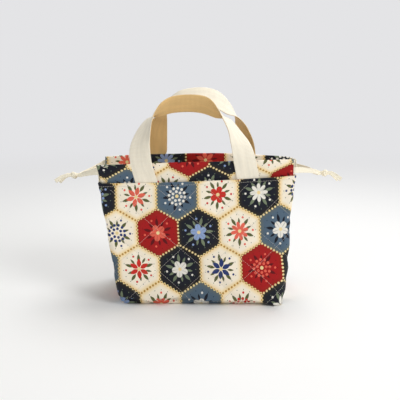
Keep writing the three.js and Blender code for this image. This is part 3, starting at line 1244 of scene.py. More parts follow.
@dataclass
class Panel:
    """One half of a layer of the bag: half the base, the rounded edge, a wall and two half sides."""

    side: Side
    form: BagForm
    settle: Settle
    inset: float
    spacing: float
    top: float
    least_edge: float = 0.002
    least_turns: int = 5
    lip_drops: tuple[float, ...] = (0.0011, 0.0006, 0.0002, 0.0)
    lip_insets: tuple[float, ...] = (0.0, 0.00004, 0.00018, 0.0005)
    lip_start: float = 0.0012
    base_coarseness: float = 1.6
    base_seam_share: float = 0.97
    base_fade: tuple[float, float] = (-0.004, 0.010)
    seam_reach: float = 0.024
    wide_wave: float = 0.0020
    wide_length: float = 0.085
    short_wave: float = 0.0015
    short_length: float = 0.040
    wave_power: float = 0.7
    slump: float = 0.0045
    slump_height: float = 0.036
    slump_reach: float = 0.026
    slump_share: float = 0.7
    slump_swing: float = 0.5
    slump_length: float = 0.060
    slump_slant: float = 0.3
    share: Array = field(init=False)
    along: Array = field(init=False)
    reach: Array = field(init=False)

    def base_cloth(self) -> Cloth:
        """Lay out the panel's smooth cloth on the upright bag.

        Returns:
            The cloth, row by row from the base's middle up to the rim.
        """
        form = self.form
        edge = max(form.base_edge - self.inset, self.least_edge)
        turn_count = max(self.least_turns, round(edge * math.pi / 2 / self.spacing) + 2)
        turns = np.linspace(0.0, math.pi / 2, turn_count)[:-1]
        turn_insets = edge * (1 - np.sin(turns))
        walls = np.arange(self.inset + edge, self.top - self.lip_start, self.spacing)
        lips = self.top - np.array(self.lip_drops)
        heights = np.concatenate([self.inset + edge * (1 - np.cos(turns)), walls, lips])
        insets = self.inset + np.concatenate([turn_insets, np.zeros(len(walls)), self.lip_insets])
        sizes = np.concatenate([np.zeros(len(turns)), walls, lips])
        columns = round(2 * form.reach(0.0, self.inset) / self.spacing) | 1
        self.share = np.linspace(-1.0, 1.0, columns)
        rows = form.level(self.share[None, :], sizes[:, None], insets[:, None])
        rows[..., 2] = heights[:, None]
        depth = form.base_depth / 2 - self.inset - edge
        ways = np.linspace(1.0, 0.0, round(depth / (self.base_coarseness * self.spacing)))[:-1]
        seam = np.zeros((columns, 3))
        seam[:, 0] = self.share * self.base_seam_share * np.abs(rows[0, :, 0]).max()
        seam[:, 2] = heights[0]
        base = ways[:, None, None] * seam[None] + (1 - ways)[:, None, None] * rows[:1]
        around = self.inset + edge * (1 - math.pi / 2 + turns)
        self.along = np.concatenate([around[0] - depth * ways, around, walls, lips])
        reach = form.reach(sizes, insets)
        self.reach = np.concatenate([np.full(len(ways), reach[0]), reach])
        flat = np.stack(np.broadcast_arrays(
            self.share[None, :] * self.reach[:, None], self.along[:, None]), axis=-1)
        return Cloth(np.concatenate([base, rows]), flat)

    def off_base(self) -> Array:
        """Return 0 on the base, rising to 1 on the wall."""
        start, end = self.base_fade
        return eased((self.along - start) / (end - start))[:, None]

    def sag(self, across: Array, along: Array) -> Array:
        """Hang the soft wall in wide and short waves, over the bulge above the base.

        Args:
            across: Places across the flat panel.
            along: Places along it.

        Returns:
            How far the wall stands out there.
        """
        seed = 3.0 * self.side.value
        rise = np.clip(along / self.form.height, 0.0, 1.0)
        loose = np.sin(math.pi * rise) ** self.wave_power
        waves = self.wide_wave * ripple(across, along, self.wide_length, seed)
        waves = waves + self.short_wave * ripple(across, along, self.short_length, seed + 1)
        swing = ripple(across, along * self.slump_slant, self.slump_length, seed + 2)
        uneven = self.slump_share + self.slump_swing * swing
        return waves * loose * self.off_base() + self.slumped(along) * uneven

    def slumped(self, along: Array) -> Array:
        """Return how far the wall bulges above the base under its own weight."""
        return self.slump * bell(along - self.slump_height, self.slump_reach) * self.off_base()

    def from_seam(self) -> Array:
        """Return each place's distance from the nearer side seam."""
        return (1 - np.abs(self.share))[None, :] * self.reach[:, None]

    def seamed(self, heights: Array, along: Array) -> Array:
        """Lead the cloth's waves over to the bulge that both halves share at the side seams."""
        free = eased(self.from_seam() / self.seam_reach)
        return heights * free + self.slump_share * self.slumped(along) * (1 - free)

    def settled(self, cloth: Cloth) -> Cloth:
        """Turn the cloth to its side of the bag and let it settle."""
        return Cloth(self.settle.placed(self.side.turned(cloth.points)), cloth.flat)


@dataclass
class OuterPanel(Panel):
    """A quilted outer panel with its padding, its lines of stitches and the topstitching at the rim."""

    quilting: Quilting = field(default_factory=Quilting)
    stitching: Stitching = field(default_factory=Stitching)
    thickness: float = 0.001
    first_stitch: float = 0.002
    plain_rim: float = 0.006
    rim_fade: float = 0.016
    seam_dip: float = 0.0016
    seam_dip_width: float = 0.003
    topstitch_drop: float = 0.0042
    topstitch_dip: float = 0.0004
    topstitch_dip_width: float = 0.0016
    topstitch_margin: float = 0.003
    topstitch_step: float = 0.0008
    rim_flare: float = 0.0004
    corner_flare: float = 0.0009

    def cloth(self) -> Cloth:
        """Shape the outer cloth, puffed between its lines of stitches.

        Returns:
            The settled cloth.
        """
        smooth = self.base_cloth()
        across, along = smooth.flat[..., 0], smooth.flat[..., 1]
        seed = 20.0 + self.side.value
        rim = self.form.height
        below_rim = eased((rim - self.plain_rim - along) / self.rim_fade)
        heights = self.quilting.heights(across, along, seed) * below_rim * self.off_base()
        heights = self.seamed(heights + self.sag(across, along), along)
        heights = heights - self.seam_dip * bell(self.from_seam(), self.seam_dip_width) * self.off_base()
        from_topstitch = along - rim + self.topstitch_drop
        heights = heights - self.topstitch_dip * bell(from_topstitch, self.topstitch_dip_width)
        near_rim = eased((along - rim + self.rim_fade) / self.rim_fade)
        flare = near_rim * (self.rim_flare + self.corner_flare * np.abs(self.share) ** 3)
        puffed = smooth.raised(heights + flare)
        puffed.points[..., 2] = np.maximum(puffed.points[..., 2], smooth.points[0, 0, 2])
        return self.settled(puffed)

    def grid_places(self, line: Array) -> tuple[Array, Array]:
        """Find flat places on the panel's grid.

        Args:
            line: Places across and along the flat panel.

        Returns:
            Their rows and their columns, with fractions.
        """
        rows = np.interp(line[:, 1], self.along, np.arange(len(self.along)))
        reach = np.interp(line[:, 1], self.along, self.reach)
        columns = (line[:, 0] / reach + 1) / 2 * (len(self.share) - 1)
        return rows, columns

    def build(self) -> list[Piece]:
        """Make the panel and its stitches.

        Returns:
            The panel and its thread.
        """
        word = self.side.word
        cloth = self.cloth()
        panel = cloth.thick(self.thickness).piece(f"{word}_quilted_panel", [PRINTED_COTTON.material()])
        seated(panel, "bag", "printed_cotton", f"outer_{word}", f"fleece_{word}")

        topstitch = self.form.height - self.topstitch_drop
        reach = self.form.reach(topstitch, 0.0) - self.topstitch_margin
        across = np.arange(-reach, reach, self.topstitch_step)
        lines = self.quilting.lines(reach, self.first_stitch, self.form.height - self.plain_rim)
        lines.append(np.column_stack([across, np.full(len(across), topstitch)]))
        thread: Optional[Mould] = None
        for line in lines:
            sewn = self.stitching.sewn(*cloth.sampled(*self.grid_places(line)))
            thread = thread.joined(sewn) if thread else sewn
        stitches = thread.piece(f"{word}_panel_stitches", [THREAD.material()])
        return [panel, seated(stitches, "bag", "cotton_tape")]


@dataclass
class LiningPanel(Panel):
    """A plain lining panel, which hangs inside the padding with small creases."""

    thickness: float = 0.0008
    crease: float = 0.0009
    crease_length: float = 0.022

    def build(self) -> Piece:
        """Make the lining panel.

        Returns:
            The panel.
        """
        word = self.side.word
        smooth = self.base_cloth()
        across, along = smooth.flat[..., 0], smooth.flat[..., 1]
        loose = np.sin(math.pi * np.clip(along / self.form.height, 0.0, 1.0))
        waves = ripple(across, along, self.crease_length, 40.0 + self.side.value)
        creases = -self.crease * (1 + waves) * loose
        hang = np.minimum(self.seamed(self.sag(across, along), along), 0.0)
        cloth = self.settled(smooth.raised(hang + creases))
        panel = cloth.thick(self.thickness).piece(f"{word}_lining", [LINING_COTTON.material()])
        seated(panel, "bag", "lining_cotton", f"lining_{word}")
        width = 2 * float(self.form.reach(0.0, self.inset))
        return panel


@dataclass
class Casing:
    """A strip of print folded into a flat tube for the drawstrings, with its raw edges in the top seam.

    Its top's waves and its bow are heights, each with a wavelength.
    """

    side: Side
    form: BagForm
    settle: Settle
    handle: "Handle"
    left_splay: float = 0.0
    splay_reach: float = 0.05
    cloth: float = 0.0006
    spacing: float = 0.0020
    section_step: float = 0.0011
    front_inset: float = 0.0036
    swell: float = 0.0006
    swell_power: float = 0.6
    swell_wave: float = 0.0004
    wide_length: float = 0.026
    short_length: float = 0.012
    end_swell: float = 0.0011
    end_reach: float = 0.022
    leg_clearance: float = 0.012
    top_wave: tuple[float, float] = (0.0008, 0.075)
    top_ripple: tuple[float, float] = (0.0003, 0.022)
    bow: tuple[float, float] = (0.0022, 0.16)
    print_shift: tuple[float, float] = (0.041, 0.3)

    def section(self) -> Array:
        """Lay the strip's path round the tube.

        Returns:
            Its points, across the bag and up.
        """
        low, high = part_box(f"casing_{Side.FRONT.word}")
        bottom, top = low.z, high.z
        rim = self.form.height
        front = self.form.front_depth(rim, 0.0) + self.front_inset
        back = high.y
        slant = self.form.front_depth(bottom, 0.0) - self.form.front_depth(rim, 0.0)
        middle = (front + back) / 2
        stem = 2 * self.cloth
        route = [
            (front + slant, bottom), (front, rim), (front, rim + 0.0035), (front, top - 0.009),
            (front + 0.0002, top - 0.003), (front + 0.0007, top - 0.0006), (middle, top),
            (back - 0.0007, top - 0.0006), (back - 0.0002, top - 0.003), (back, top - 0.009),
            (back, rim + 0.005), (back - 0.0005, rim + 0.0022), (front + stem, rim + 0.0005),
            (front + stem, rim - 0.0006), (front + stem + slant, bottom),
        ]
        return smooth_route([(0.0, y, z) for y, z in route], self.section_step)

    def leg_room(self, x: Array, rise: Array) -> Array:
        """Find where the casing's front is free of the handle's legs.

        Args:
            x: Places along the casing.
            rise: Each row's height, from 0 at the rim to 1 at the casing's top.

        Returns:
            0 behind a leg, rising to 1 away from it.
        """
        half = self.handle.spacing / 2
        free = np.ones((len(rise), len(x)))
        for sign, bend in ((-1, self.handle.bends[0]), (1, self.handle.bends[-1])):
            leg = half * (sign + (bend[0] - sign) * rise)
            away = np.abs(x[None, :] - leg) - self.handle.width / 2
            free = np.minimum(free, eased(away / self.leg_clearance))
        return free

    def build(self) -> Piece:
        """Make the casing.

        Returns:
            The casing.
        """
        word = self.side.word
        low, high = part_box(f"casing_{word}")
        half_length = (high.x - low.x) / 2
        section = self.section()
        columns = round(2 * half_length / self.spacing) + 1
        x = np.linspace(-half_length, half_length, columns)
        rows = len(section)
        points = np.zeros((rows, columns, 3))
        points[..., 0] = x[None, :]
        points[..., 1:] = section[:, None, 1:]
        strip = distances_along(section)
        seed = 60.0 + 5 * self.side.value
        rim, top = self.form.height, section[:, 2].max()
        rise = np.clip((section[:, 2] - rim) / (top - rim), 0.0, 1.0)[:, None]
        crown = np.argmax(section[:, 2])
        outward = np.where(np.arange(rows) < crown, -1.0, 1.0)[:, None]
        ends = eased((np.abs(x) - half_length + self.end_reach) / self.end_reach)[None, :]
        room = np.where(outward < 0, self.leg_room(x, rise), 1.0)
        waves = ripple(x[None, :], section[:, 2:3], self.wide_length, seed)
        waves = waves + ripple(x[None, :], strip[:, None], self.short_length, seed + 1)
        swell = self.swell + self.swell_wave * waves + self.end_swell * ends
        points[..., 1] += outward * swell * room * np.sin(math.pi * rise) ** self.swell_power
        for count, (height, length) in enumerate((self.top_wave, self.top_ripple)):
            points[..., 2] += height * ripple(x, 0 * x, length, seed + 2 + count)[None, :] * rise
        bow_height, bow_length = self.bow
        points[..., 1] += bow_height * ripple(x, 0 * x, bow_length, seed + 4)[None, :] * rise * room
        left_end = eased((-x - half_length + self.splay_reach) / self.splay_reach)[None, :]
        points[..., 0] -= self.left_splay * left_end * rise
        across, along = self.print_shift
        flat = np.stack(np.broadcast_arrays(x[None, :] + across, strip[:, None] + along), axis=-1)
        cloth = Cloth(self.settle.placed(self.side.turned(points)), flat)
        piece = cloth.thick(self.cloth).piece(f"{word}_drawstring_casing", [PRINTED_COTTON.material()])
        seated(piece, "bag", "printed_cotton", f"casing_{word}")
        return piece


@dataclass(frozen=True)
class Ribbon:
    """A flat woven ribbon with thicker selvedges near its rounded edges."""

    half_thickness: float
    across_count: int = 25
    edge_sharpness: int = 14
    edge_power: float = 0.3
    selvedge: float = 0.10
    selvedge_place: float = 0.90
    selvedge_width: float = 0.06

    def swept(self, middles: Array, across: Array, half_widths: Array, cups: Array) -> Mould:
        """Sweep the ribbon along a line.

        Args:
            middles: The line's points.
            across: The direction to the ribbon's edge at each point.
            half_widths: Half the ribbon's width at each point.
            cups: How far the ribbon's edges turn up at each point.

        Returns:
            The closed mesh. Its first finish is on the outer face, its second on the inner one, which on
            the handles is a darker tan: painted shade, with some tan of its own.
        """
        through = unit(np.cross(np.gradient(middles, axis=0), across))
        places = -np.cos(np.linspace(0.0, math.pi, self.across_count))
        bulge = np.power(np.clip(1 - np.abs(places) ** self.edge_sharpness, 0.0, 1.0), self.edge_power)
        thicker = bell(np.abs(places) - self.selvedge_place, self.selvedge_width)
        bulge = bulge * (1 + self.selvedge * thicker)
        round_places = np.concatenate([places, places[-2:0:-1]])
        heights = np.concatenate([-bulge, bulge[-2:0:-1]]) * self.half_thickness
        sides = len(round_places)
        offsets = half_widths[:, None] * round_places[None, :]
        lifts = heights[None, :] + cups[:, None] * np.square(round_places)[None, :]
        points = (
            middles[:, None, :]
            + across[:, None, :] * offsets[..., None]
            + through[:, None, :] * lifts[..., None]
        )
        along = distances_along(middles)
        flat = np.stack(np.broadcast_arrays(offsets, along[:, None]), axis=-1)
        faces = tube_faces(0, len(middles), sides)
        outer_faces = self.across_count - 1
        around = [0 if side < outer_faces else 1 for side in range(sides)]
        finishes = [0] + around * (len(middles) - 1) + [0]
        return Mould(points.reshape(-1, 3), faces, flat.reshape(-1, 2), finishes)


@dataclass
class Handle:
    """A webbing handle: two legs up the casing, and an arch that leans over the mouth and twists.

    Each of its bends is a place that the webbing runs through, as shares of half the spacing and of the
    rise, and how far its outer edge lies to the right and up from there, as shares of half the width.
    """

    side: Side
    form: BagForm
    settle: Settle
    rise: float
    bends: Sequence[tuple[float, float, float, float]]
    spacing: float = 0.144
    width: float = 0.032
    thickness: float = 0.002
    seam_inset: float = 0.0023
    lean_power: float = 1.5
    edge_at_top: float = 0.8
    middle_gap: float = 0.002
    fold: tuple[float, float] = (0.003, 0.017)
    casing_clearance: float = 0.0003
    twist_smoothing: int = 8
    width_wave: float = 0.012
    width_wave_length: float = 0.03
    step: float = 0.0014

    def line(self) -> Array:
        """Run the webbing's middle line from seam to seam.

        Returns:
            The line's points, each with two more numbers: its outer edge's offsets to the right and up.
        """
        rim = self.form.height
        tab_bottom = rim - self.form.seam_allowance
        tab_depth = self.form.front_depth(tab_bottom, self.seam_inset)
        plumb = self.form.front_depth(rim, self.seam_inset)
        arch_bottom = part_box(f"casing_{Side.FRONT.word}")[1].z + self.casing_clearance
        edge_depth = math.sqrt(1 - self.edge_at_top ** 2) * self.width / 2
        lean = -plumb - edge_depth - self.middle_gap
        half = self.spacing / 2
        leg = [(-half, tab_depth, tab_bottom, -1.0, 0.0), (-half, plumb, rim, -1.0, 0.0)]
        arch = []
        for across, height, right, up in self.bends:
            depth = plumb + lean * height ** self.lean_power
            arch.append((half * across, depth, arch_bottom + self.rise * height, right, up))
        other = [(-x, y, z, -right, up) for x, y, z, right, up in reversed(leg)]
        return smooth_route([*leg, *arch, *other], self.step)

    def build(self) -> Piece:
        """Make the handle.

        Returns:
            The handle.
        """
        word = self.side.word
        line = self.line()
        middles, edge = line[:, :3], line[:, 3:]
        edge = edge / np.maximum(np.linalg.norm(edge, axis=1, keepdims=True), 1.0)
        edge_depth = np.sqrt(np.maximum(1 - np.sum(edge * edge, axis=1), 0.0))
        to_edge = -np.column_stack([edge[:, 0], edge_depth, edge[:, 1]])
        across = softened(to_edge, self.twist_smoothing)
        along = distances_along(middles)
        waves = ripple(along, 0 * along, self.width_wave_length, 80.0 + self.side.value)
        half_widths = self.width / 2 * (1 + self.width_wave * waves)
        ribbon = Ribbon(self.thickness / 2).swept(middles, across, half_widths, np.zeros(len(along)))
        ribbon.points = self.settle.placed(self.side.turned(ribbon.points))
        # The inner faces take the darker tan finish: painted shade, with some tan of their own.
        handle = ribbon.piece(f"{word}_webbing_handle", [WEBBING.material(), WEBBING_INSIDE_SHADED.material()])
        tabs = [f"{word}_handle_{end.word}_tab" for end in End]
        dressed(handle, "cotton_webbing", f"{word}_handle", *tabs)
        depth = self.side.value * self.form.front_depth(self.form.height, 0.0)
        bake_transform(handle)
        return handle


@dataclass(frozen=True)
class Knot:
    """A folded tape tied in an overhand knot and drawn tight, with its middle at the origin."""

    size: float = 0.00125
    stretch: float = 1.5
    half_width: float = 0.0027
    half_depth: float = 0.0019
    crease: float = 0.10
    tape: float = 0.08
    steps: int = 96
    sides: int = 14

    def line(self) -> Array:
        """Run the tape's middle line round the knot.

        Returns:
            The line's points.
        """
        turn = np.linspace(0.0, 2 * math.pi, self.steps + 1)[:-1]
        ring = 2.0 + np.cos(3 * turn)
        return np.column_stack([
            self.stretch * self.size * np.sin(3 * turn),
            self.size * ring * np.cos(2 * turn),
            self.size * ring * np.sin(2 * turn),
        ])

    def mould(self) -> Mould:
        """Sweep the folded tape along its line.

        Returns:
            The closed mesh.
        """
        line = self.line()
        tangents = unit(np.roll(line, -1, axis=0) - np.roll(line, 1, axis=0))
        outward = unit(line * np.array([0.6, 1.0, 1.0]))
        outward = unit(outward - tangents * np.sum(outward * tangents, axis=1, keepdims=True))
        beside = np.cross(tangents, outward)
        angles = np.linspace(0.0, 2 * math.pi, self.sides, endpoint=False)
        fold = 1 + self.crease * np.cos(3 * angles)
        points = (
            line[:, None, :]
            + beside[:, None, :] * (self.half_width * np.cos(angles) * fold)[None, :, None]
            + outward[:, None, :] * (self.half_depth * np.sin(angles) * fold)[None, :, None]
        )
        faces: list[tuple[int, ...]] = []
        for step in range(self.steps):
            here = step * self.sides
            there = (step + 1) % self.steps * self.sides
            for side in range(self.sides):
                beyond = (side + 1) % self.sides
                faces.append((here + side, there + side, there + beyond, here + beyond))
        along = np.linspace(0.0, self.tape, self.steps)[:, None]
        around = (self.half_width * np.sin(angles))[None, :]
        flat = np.stack(np.broadcast_arrays(around, along), axis=-1)
        return Mould(points.reshape(-1, 3), faces, flat.reshape(-1, 2))


@dataclass
class Drawstring:
    """A tape drawstring: its runs in the casings, its turn at the far end, and its knotted ends.

    The routes go out from the casing's end, as distances outward, towards the mouth's middle, and up.
    """

    end: End
    settle: Settle
    knot_outward: float
    knot_drop: float
    strands: Sequence[Sequence[tuple[float, float, float]]]
    tails: Sequence[Sequence[tuple[float, float, float]]]
    turn_bow: Sequence[tuple[float, float]] = ((0.0022, 0.0012), (0.0036, 0.0050))
    reach: float = 0.041
    width: float = 0.012
    thickness: float = 0.001
    width_at_knot: float = 0.0055
    tail_width: float = 0.006
    strand_spacing: float = 0.0036
    straight: float = 0.004
    knot_reach: float = 0.0053
    inside: float = 0.018
    clearance: float = 0.0003
    cup_at_knot: float = 0.0012
    cup_at_end: float = 0.0002
    across_count: int = 13
    step: float = 0.0015
    run_step: float = 0.004

    def __post_init__(self) -> None:
        """Find the tape's height, the casing's end and the knot's middle."""
        self.body = f"{self.end.word}_drawstring"
        low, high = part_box(f"{self.body}_front_run")
        self.height = (low.z + high.z) / 2
        low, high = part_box(f"casing_{Side.FRONT.word}")
        self.casing_half = (high.x - low.x) / 2
        self.out = float(self.end.value)
        self.exit = self.out * (self.casing_half + self.clearance)
        knot_x = self.out * (self.casing_half + self.knot_outward)
        self.knot = np.array([knot_x, 0.0, self.height - self.knot_drop])

    def beside_knot(self, toward: int, out: float) -> tuple[float, float, float]:
        """Return a point of a tape's route through the knot."""
        return (self.knot[0] + self.out * out, toward * self.strand_spacing / 2, self.knot[2])

    def ribbon(self) -> Ribbon:
        """Return the ribbon that the tape is."""
        return Ribbon(self.thickness / 2, self.across_count)

    def tape(
        self,
        name: str,
        route: Sequence[Sequence[float]],
        widths: Sequence[tuple[float, float]],
        cups: Sequence[tuple[float, float]],
    ) -> tuple[Piece, Array]:
        """Make a length of upright tape.

        Args:
            name: The piece's name.
            route: The points that it runs through.
            widths: Its widths, each with the distance outward from the casing's end.
            cups: How far its edges turn in, likewise.

        Returns:
            The tape and its middle line.
        """
        line = smooth_route(route, self.step)
        outward = (line[:, 0] - self.exit) * self.out
        half_widths = np.interp(outward, *zip(*widths)) / 2
        cupped = np.interp(outward, *zip(*cups))
        across = square_to(line, (0.0, 0.0, 1.0))
        mould = self.ribbon().swept(line, across, half_widths, cupped)
        mould.points = self.settle.placed(mould.points)
        mould.finish_of_face = None
        return mould.piece(name, [TAPE.material()]), self.settle.placed(line)

    def free_tape(self, side: Side) -> Piece:
        """Make one free end: out of the casing, through the knot and on to its cut tail.

        Args:
            side: The casing that it comes out of.

        Returns:
            The tape.
        """
        toward = -side.value
        y = toward * self.reach
        strand, tail = list(zip(self.strands, self.tails))[0 if side is Side.FRONT else 1]
        straight_end = self.knot_reach + self.straight
        route = [(self.exit - self.out * self.inside, y, self.height)]
        for out, inward, up in strand:
            route.append((self.exit + self.out * out, y - toward * inward, self.height + up))
        for out in (-straight_end, -self.knot_reach, 0.0, self.knot_reach, straight_end):
            route.append(self.beside_knot(toward, out))
        for out, aside, up in tail:
            x, across, z = self.beside_knot(toward, self.knot_reach + out)
            route.append((x, across + toward * aside, z + up))
        knot_middle = self.knot_outward - self.clearance
        knot_start = knot_middle - self.knot_reach
        knot_end = knot_middle + self.knot_reach
        tail_end = knot_end + tail[-1][0]
        widths = [
            (-self.inside, self.width), (0.0, self.width), (knot_start, self.width_at_knot),
            (knot_end, self.width_at_knot), (tail_end, self.tail_width),
        ]
        cups = [
            (-self.inside, 0.0), (0.0, 0.0), (knot_start, self.cup_at_knot),
            (knot_end, self.cup_at_knot), (tail_end, self.cup_at_end),
        ]
        piece, line = self.tape(f"{self.end.word}_{side.word}_tape_end", route, widths, cups)
        nodes = [f"{self.end.word}_{side.word}_{part}" for part in ("strand", "tail")]
        dressed(piece, "cotton_tape", *nodes)
        _, inward, up = strand[0]
        exit_point = self.settle.placed(np.array([self.exit, y - toward * inward, self.height + up]))
        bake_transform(piece)
        return piece

    def far_turn(self) -> Piece:
        """Make the turn across the far side of the mouth, with its ends inside the casings.

        Returns:
            The tape.
        """
        far = -self.exit
        half = []
        for out, inward in ((-self.inside, 0.0), (0.0, 0.0), *self.turn_bow):
            half.append((far - self.out * out, inward - self.reach, self.height))
        route = half + [(x, -y, z) for x, y, z in reversed(half)]
        even_width = [(0.0, self.width), (1.0, self.width)]
        no_cup = [(0.0, 0.0), (1.0, 0.0)]
        piece, line = self.tape(f"{self.body}_far_turn", route, even_width, no_cup)
        seated(piece, "bag", "cotton_tape", f"{self.body}_turn")
        exit_point = self.settle.placed(np.array([far, -self.reach, self.height]))
        return piece

    def runs(self) -> Piece:
        """Make the lengths of tape that lie hidden in the two casings.

        Returns:
            The two lengths, as one piece.
        """
        half = self.casing_half - self.inside - 2 * self.clearance
        places = np.arange(-half, half, self.run_step)
        both: Optional[Mould] = None
        for side in Side:
            depths = np.full(len(places), -side.value * self.reach)
            line = np.column_stack([places, depths, np.full(len(places), self.height)])
            across = square_to(line, (0.0, 0.0, 1.0))
            widths = np.full(len(places), self.width / 2)
            run = self.ribbon().swept(line, across, widths, 0 * places)
            run.finish_of_face = None
            both = both.joined(run) if both else run
        both.points = self.settle.placed(both.points)
        piece = both.piece(f"{self.body}_in_casings", [TAPE.material()])
        return seated(piece, "bag", "cotton_tape", f"{self.body}_front_run", f"{self.body}_back_run")

    def knot_piece(self) -> Piece:
        """Make the overhand knot that both tapes are tied in.

        Returns:
            The knot.
        """
        mould = Knot().mould()
        mould.points = self.settle.placed(mould.points + self.knot)
        piece = mould.piece(f"{self.end.word}_overhand_knot", [TAPE.material()])
        return seated(piece, self.body, "cotton_tape", f"{self.end.word}_knot")

    def build(self) -> list[Piece]:
        """Make the whole drawstring.

        Returns:
            Its pieces.
        """
        knot = self.knot_piece()
        ends = [self.free_tape(side) for side in Side]
        return [knot, *ends, self.far_turn(), self.runs()]


@dataclass(frozen=True)
class Lamp:
    """A soft round lamp that points at the bag: its place, how wide it is and its power in watts."""

    name: str
    place: tuple[float, float, float]
    size: float
    power: float
    aim: tuple[float, float, float] = (0.0, 0.0, 0.12)

    def hang(self) -> None:
        """Hang the lamp in the scene."""
        data = bpy.data.lights.new(self.name, "AREA")
        data.shape = "DISK"
        data.size = self.size
        data.energy = self.power
        lamp = bpy.data.objects.new(self.name, data)
        lamp.location = self.place
        toward = Vector(self.aim) - Vector(self.place)
        lamp.rotation_euler = toward.to_track_quat("-Z", "Y").to_euler()
        bpy.context.scene.collection.objects.link(lamp)


@dataclass(frozen=True)
class Studio:
    """A pale floor, soft light and the camera."""

    eye: tuple[float, float, float] = (-0.002, -1.011, 0.363)
    pitch: float = math.radians(12.42)
    image_width: int = 400
    focal_pixels: float = 694.0
    sensor: float = 36.0
    floor_half: float = 6.0
    near_floor: float = 0.35
    far_floor: float = 1.6
    floor_roughness: float = 0.9
    floor_specular: float = 0.1
    sky_color: tuple[float, float, float, float] = (1.0, 0.995, 0.985, 1.0)
    sky_strength: float = 0.40
    lamps: tuple[Lamp, ...] = (
        Lamp("key", (1.3, -1.1, 1.3), size=1.0, power=17.4),
        Lamp("fill", (-1.2, -1.2, 1.1), size=1.2, power=3.0),
        Lamp("top", (0.3, 0.6, 1.6), size=1.0, power=14.0),
    )

    def camera(self) -> None:
        """Set the camera where the bag is seen from."""
        data = bpy.data.cameras.new("camera")
        data.sensor_width = self.sensor
        data.lens = self.focal_pixels / self.image_width * self.sensor
        camera = bpy.data.objects.new("camera", data)
        camera.location = self.eye
        camera.rotation_euler = (math.pi / 2 - self.pitch, 0.0, 0.0)
        bpy.context.scene.collection.objects.link(camera)
        bpy.context.scene.camera = camera

    def seen_directly(self, graph: Graph) -> Socket:
        """Tell what the camera sees, also in a mirror or through glass, from what only lights the scene.

        Args:
            graph: The graph of a material or of the world.

        Returns:
            1 where it is seen, otherwise 0.
        """
        path = graph.node("ShaderNodeLightPath")
        mirrored = graph.math("MAXIMUM", path.outputs["Is Camera Ray"], path.outputs["Is Glossy Ray"])
        return graph.math("MAXIMUM", mirrored, path.outputs["Is Transmission Ray"])

    def sky(self) -> None:
        """Light the bag evenly from all round, before a pale backdrop."""
        world = bpy.data.worlds.new("studio")
        world.use_nodes = True
        bpy.context.scene.world = world
        graph = Graph(world.node_tree)
        light = world.node_tree.nodes["Background"]
        light.inputs["Color"].default_value = self.sky_color
        light.inputs["Strength"].default_value = self.sky_strength
        shown = graph.node("ShaderNodeBackground")
        shown.inputs["Color"].default_value = Paint.BACKDROP.linear()
        mixed = graph.mixed_shader(self.seen_directly(graph), light.outputs[0], shown.outputs[0])
        graph.feed(world.node_tree.nodes["World Output"].inputs["Surface"], mixed)

    def floor(self) -> None:
        """Lay a pale floor that keeps the bag's shadow and fades into the backdrop."""
        signs = np.array([[-1.0, -1.0, 0.0], [1.0, -1.0, 0.0], [1.0, 1.0, 0.0], [-1.0, 1.0, 0.0]])
        corners = self.floor_half * signs
        material = bpy.data.materials.new("floor")
        material.use_nodes = True
        graph = Graph(material.node_tree)
        shader = material.node_tree.nodes["Principled BSDF"]
        shader.inputs["Base Color"].default_value = Paint.FLOOR.linear()
        shader.inputs["Roughness"].default_value = self.floor_roughness
        shader.inputs["Specular IOR Level"].default_value = self.floor_specular
        place = graph.node("ShaderNodeTexCoord").outputs["Object"]
        away = graph.ranged(graph.length(place), self.near_floor, self.far_floor, 0.0, 1.0)
        fade = graph.math("MULTIPLY", away, self.seen_directly(graph))
        plain = graph.node("ShaderNodeEmission")
        plain.inputs["Color"].default_value = Paint.BACKDROP.linear()
        mixed = graph.mixed_shader(fade, shader.outputs[0], plain.outputs[0])
        graph.feed(material.node_tree.nodes["Material Output"].inputs["Surface"], mixed)
        floor = Mould(corners, [(0, 1, 2, 3)], corners[:, :2]).piece("floor", [material])

    def build(self) -> None:
        """Set up the camera, the lights and the floor."""
        bpy.context.scene.view_settings.view_transform = "Standard"
        self.camera()
        self.sky()
        self.floor()
        for lamp in self.lamps:
            lamp.hang()


FRONT_SPLAY = 0.0065
FRONT_BENDS = (
    (-1.10, 0.00, -0.98, 0.00), (-1.12, 0.27, -0.93, 0.00), (-1.06, 0.49, -0.66, 0.17),
    (-0.96, 0.68, -0.28, 0.26), (-0.87, 0.80, -0.04, -0.08), (-0.82, 0.84, -0.09, -0.56),
    (-0.72, 0.90, -0.05, -0.70), (-0.50, 0.98, 0.00, -0.80), (-0.16, 1.00, 0.00, -0.82),
    (0.12, 0.97, 0.00, -0.84), (0.33, 0.89, 0.20, -0.86), (0.43, 0.83, 0.32, -0.74),
    (0.505, 0.77, 0.14, -0.14), (0.64, 0.62, 0.17, 0.33), (0.75, 0.44, 0.49, 0.28),
    (0.86, 0.25, 0.86, 0.11), (0.93, 0.00, 1.00, 0.00),
)
BACK_BENDS = (
    (-0.975, 0.00, -1.00, 0.00), (-0.965, 0.12, -0.95, 0.03), (-0.945, 0.25, -0.80, 0.15),
    (-0.91, 0.37, -0.65, 0.20), (-0.87, 0.50, -0.42, 0.18), (-0.77, 0.68, -0.03, 0.00),
    (-0.63, 0.80, 0.00, -0.62), (-0.38, 0.95, 0.00, -0.80), (-0.08, 1.00, 0.00, -0.80),
    (0.25, 0.97, 0.00, -0.80), (0.48, 0.89, 0.00, -0.76), (0.65, 0.77, 0.10, -0.25),
    (0.72, 0.66, 0.50, 0.20), (0.78, 0.52, 0.75, 0.15), (0.82, 0.34, 0.92, 0.06),
    (0.84, 0.16, 1.00, 0.00), (0.86, 0.00, 1.00, 0.00),
)


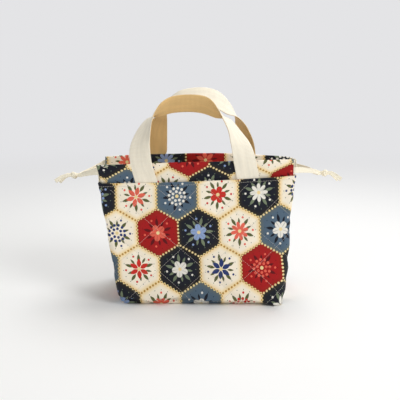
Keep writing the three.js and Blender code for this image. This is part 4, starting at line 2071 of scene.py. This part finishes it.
def main() -> None:
    """Build the bag, piece by piece, on the frame."""
    logging.basicConfig(level=logging.INFO, format="%(message)s")
    Studio().build()
    make_weave_group()
    make_handling_group()
    make_print_group()
    form = BagForm.of_frame()
    settle = Settle(
        height=form.height,
        half_width=form.rim_width / 2,
        half_depth=form.rim_depth / 2,
        base_half_depth=form.base_depth / 2,
    )

    Drawstring(
        end=End.LEFT,
        settle=settle,
        knot_outward=0.045,
        knot_drop=0.0155,
        strands=[
            [(0.0, -0.0012, -0.003), (0.005, -0.0004, -0.0035), (0.012, 0.006, -0.005),
             (0.021, 0.018, -0.009), (0.032, 0.032, -0.0135)],
            [(0.0, -0.0012, -0.004), (0.005, -0.0004, -0.006), (0.012, 0.006, -0.0085),
             (0.021, 0.018, -0.0115), (0.032, 0.032, -0.0145)],
        ],
        tails=[
            [(0.004, 0.0, 0.0), (0.013, 0.001, -0.003), (0.023, 0.0025, -0.009)],
            [(0.004, 0.0, 0.0), (0.011, 0.0014, -0.004), (0.019, 0.0032, -0.011)],
        ],
    ).build()
    Drawstring(
        end=End.RIGHT,
        settle=settle,
        knot_outward=0.051,
        knot_drop=0.0037,
        strands=[
            [(0.0, -0.0012, 0.0022), (0.005, -0.0004, 0.0020), (0.013, 0.006, 0.0012),
             (0.026, 0.018, -0.0005), (0.037, 0.031, -0.0025)],
            [(0.0, -0.0012, 0.0055), (0.005, -0.0004, 0.0060), (0.013, 0.006, 0.0060),
             (0.026, 0.018, 0.0035), (0.037, 0.031, -0.0010)],
        ],
        tails=[
            [(0.004, 0.0, 0.0), (0.011, 0.001, -0.004), (0.020, 0.0025, -0.010)],
            [(0.004, 0.0, 0.0), (0.010, 0.0014, -0.004), (0.017, 0.0032, -0.010)],
        ],
    ).build()
    handles = [
        Handle(Side.FRONT, form, settle, rise=0.080, bends=FRONT_BENDS),
        Handle(Side.BACK, form, settle, rise=0.0875, bends=BACK_BENDS),
    ]
    for side, handle in zip(Side, handles):
        OuterPanel(side, form, settle, inset=0.0, spacing=0.0019, top=form.height).build()
        LiningPanel(side, form, settle, inset=0.0051, spacing=0.004, top=form.height).build()
        splay = FRONT_SPLAY if side is Side.FRONT else 0.0
        Casing(side, form, settle, handle, left_splay=splay).build()
    for handle in handles:
        handle.build()


if __name__ == "__main__":
    main()
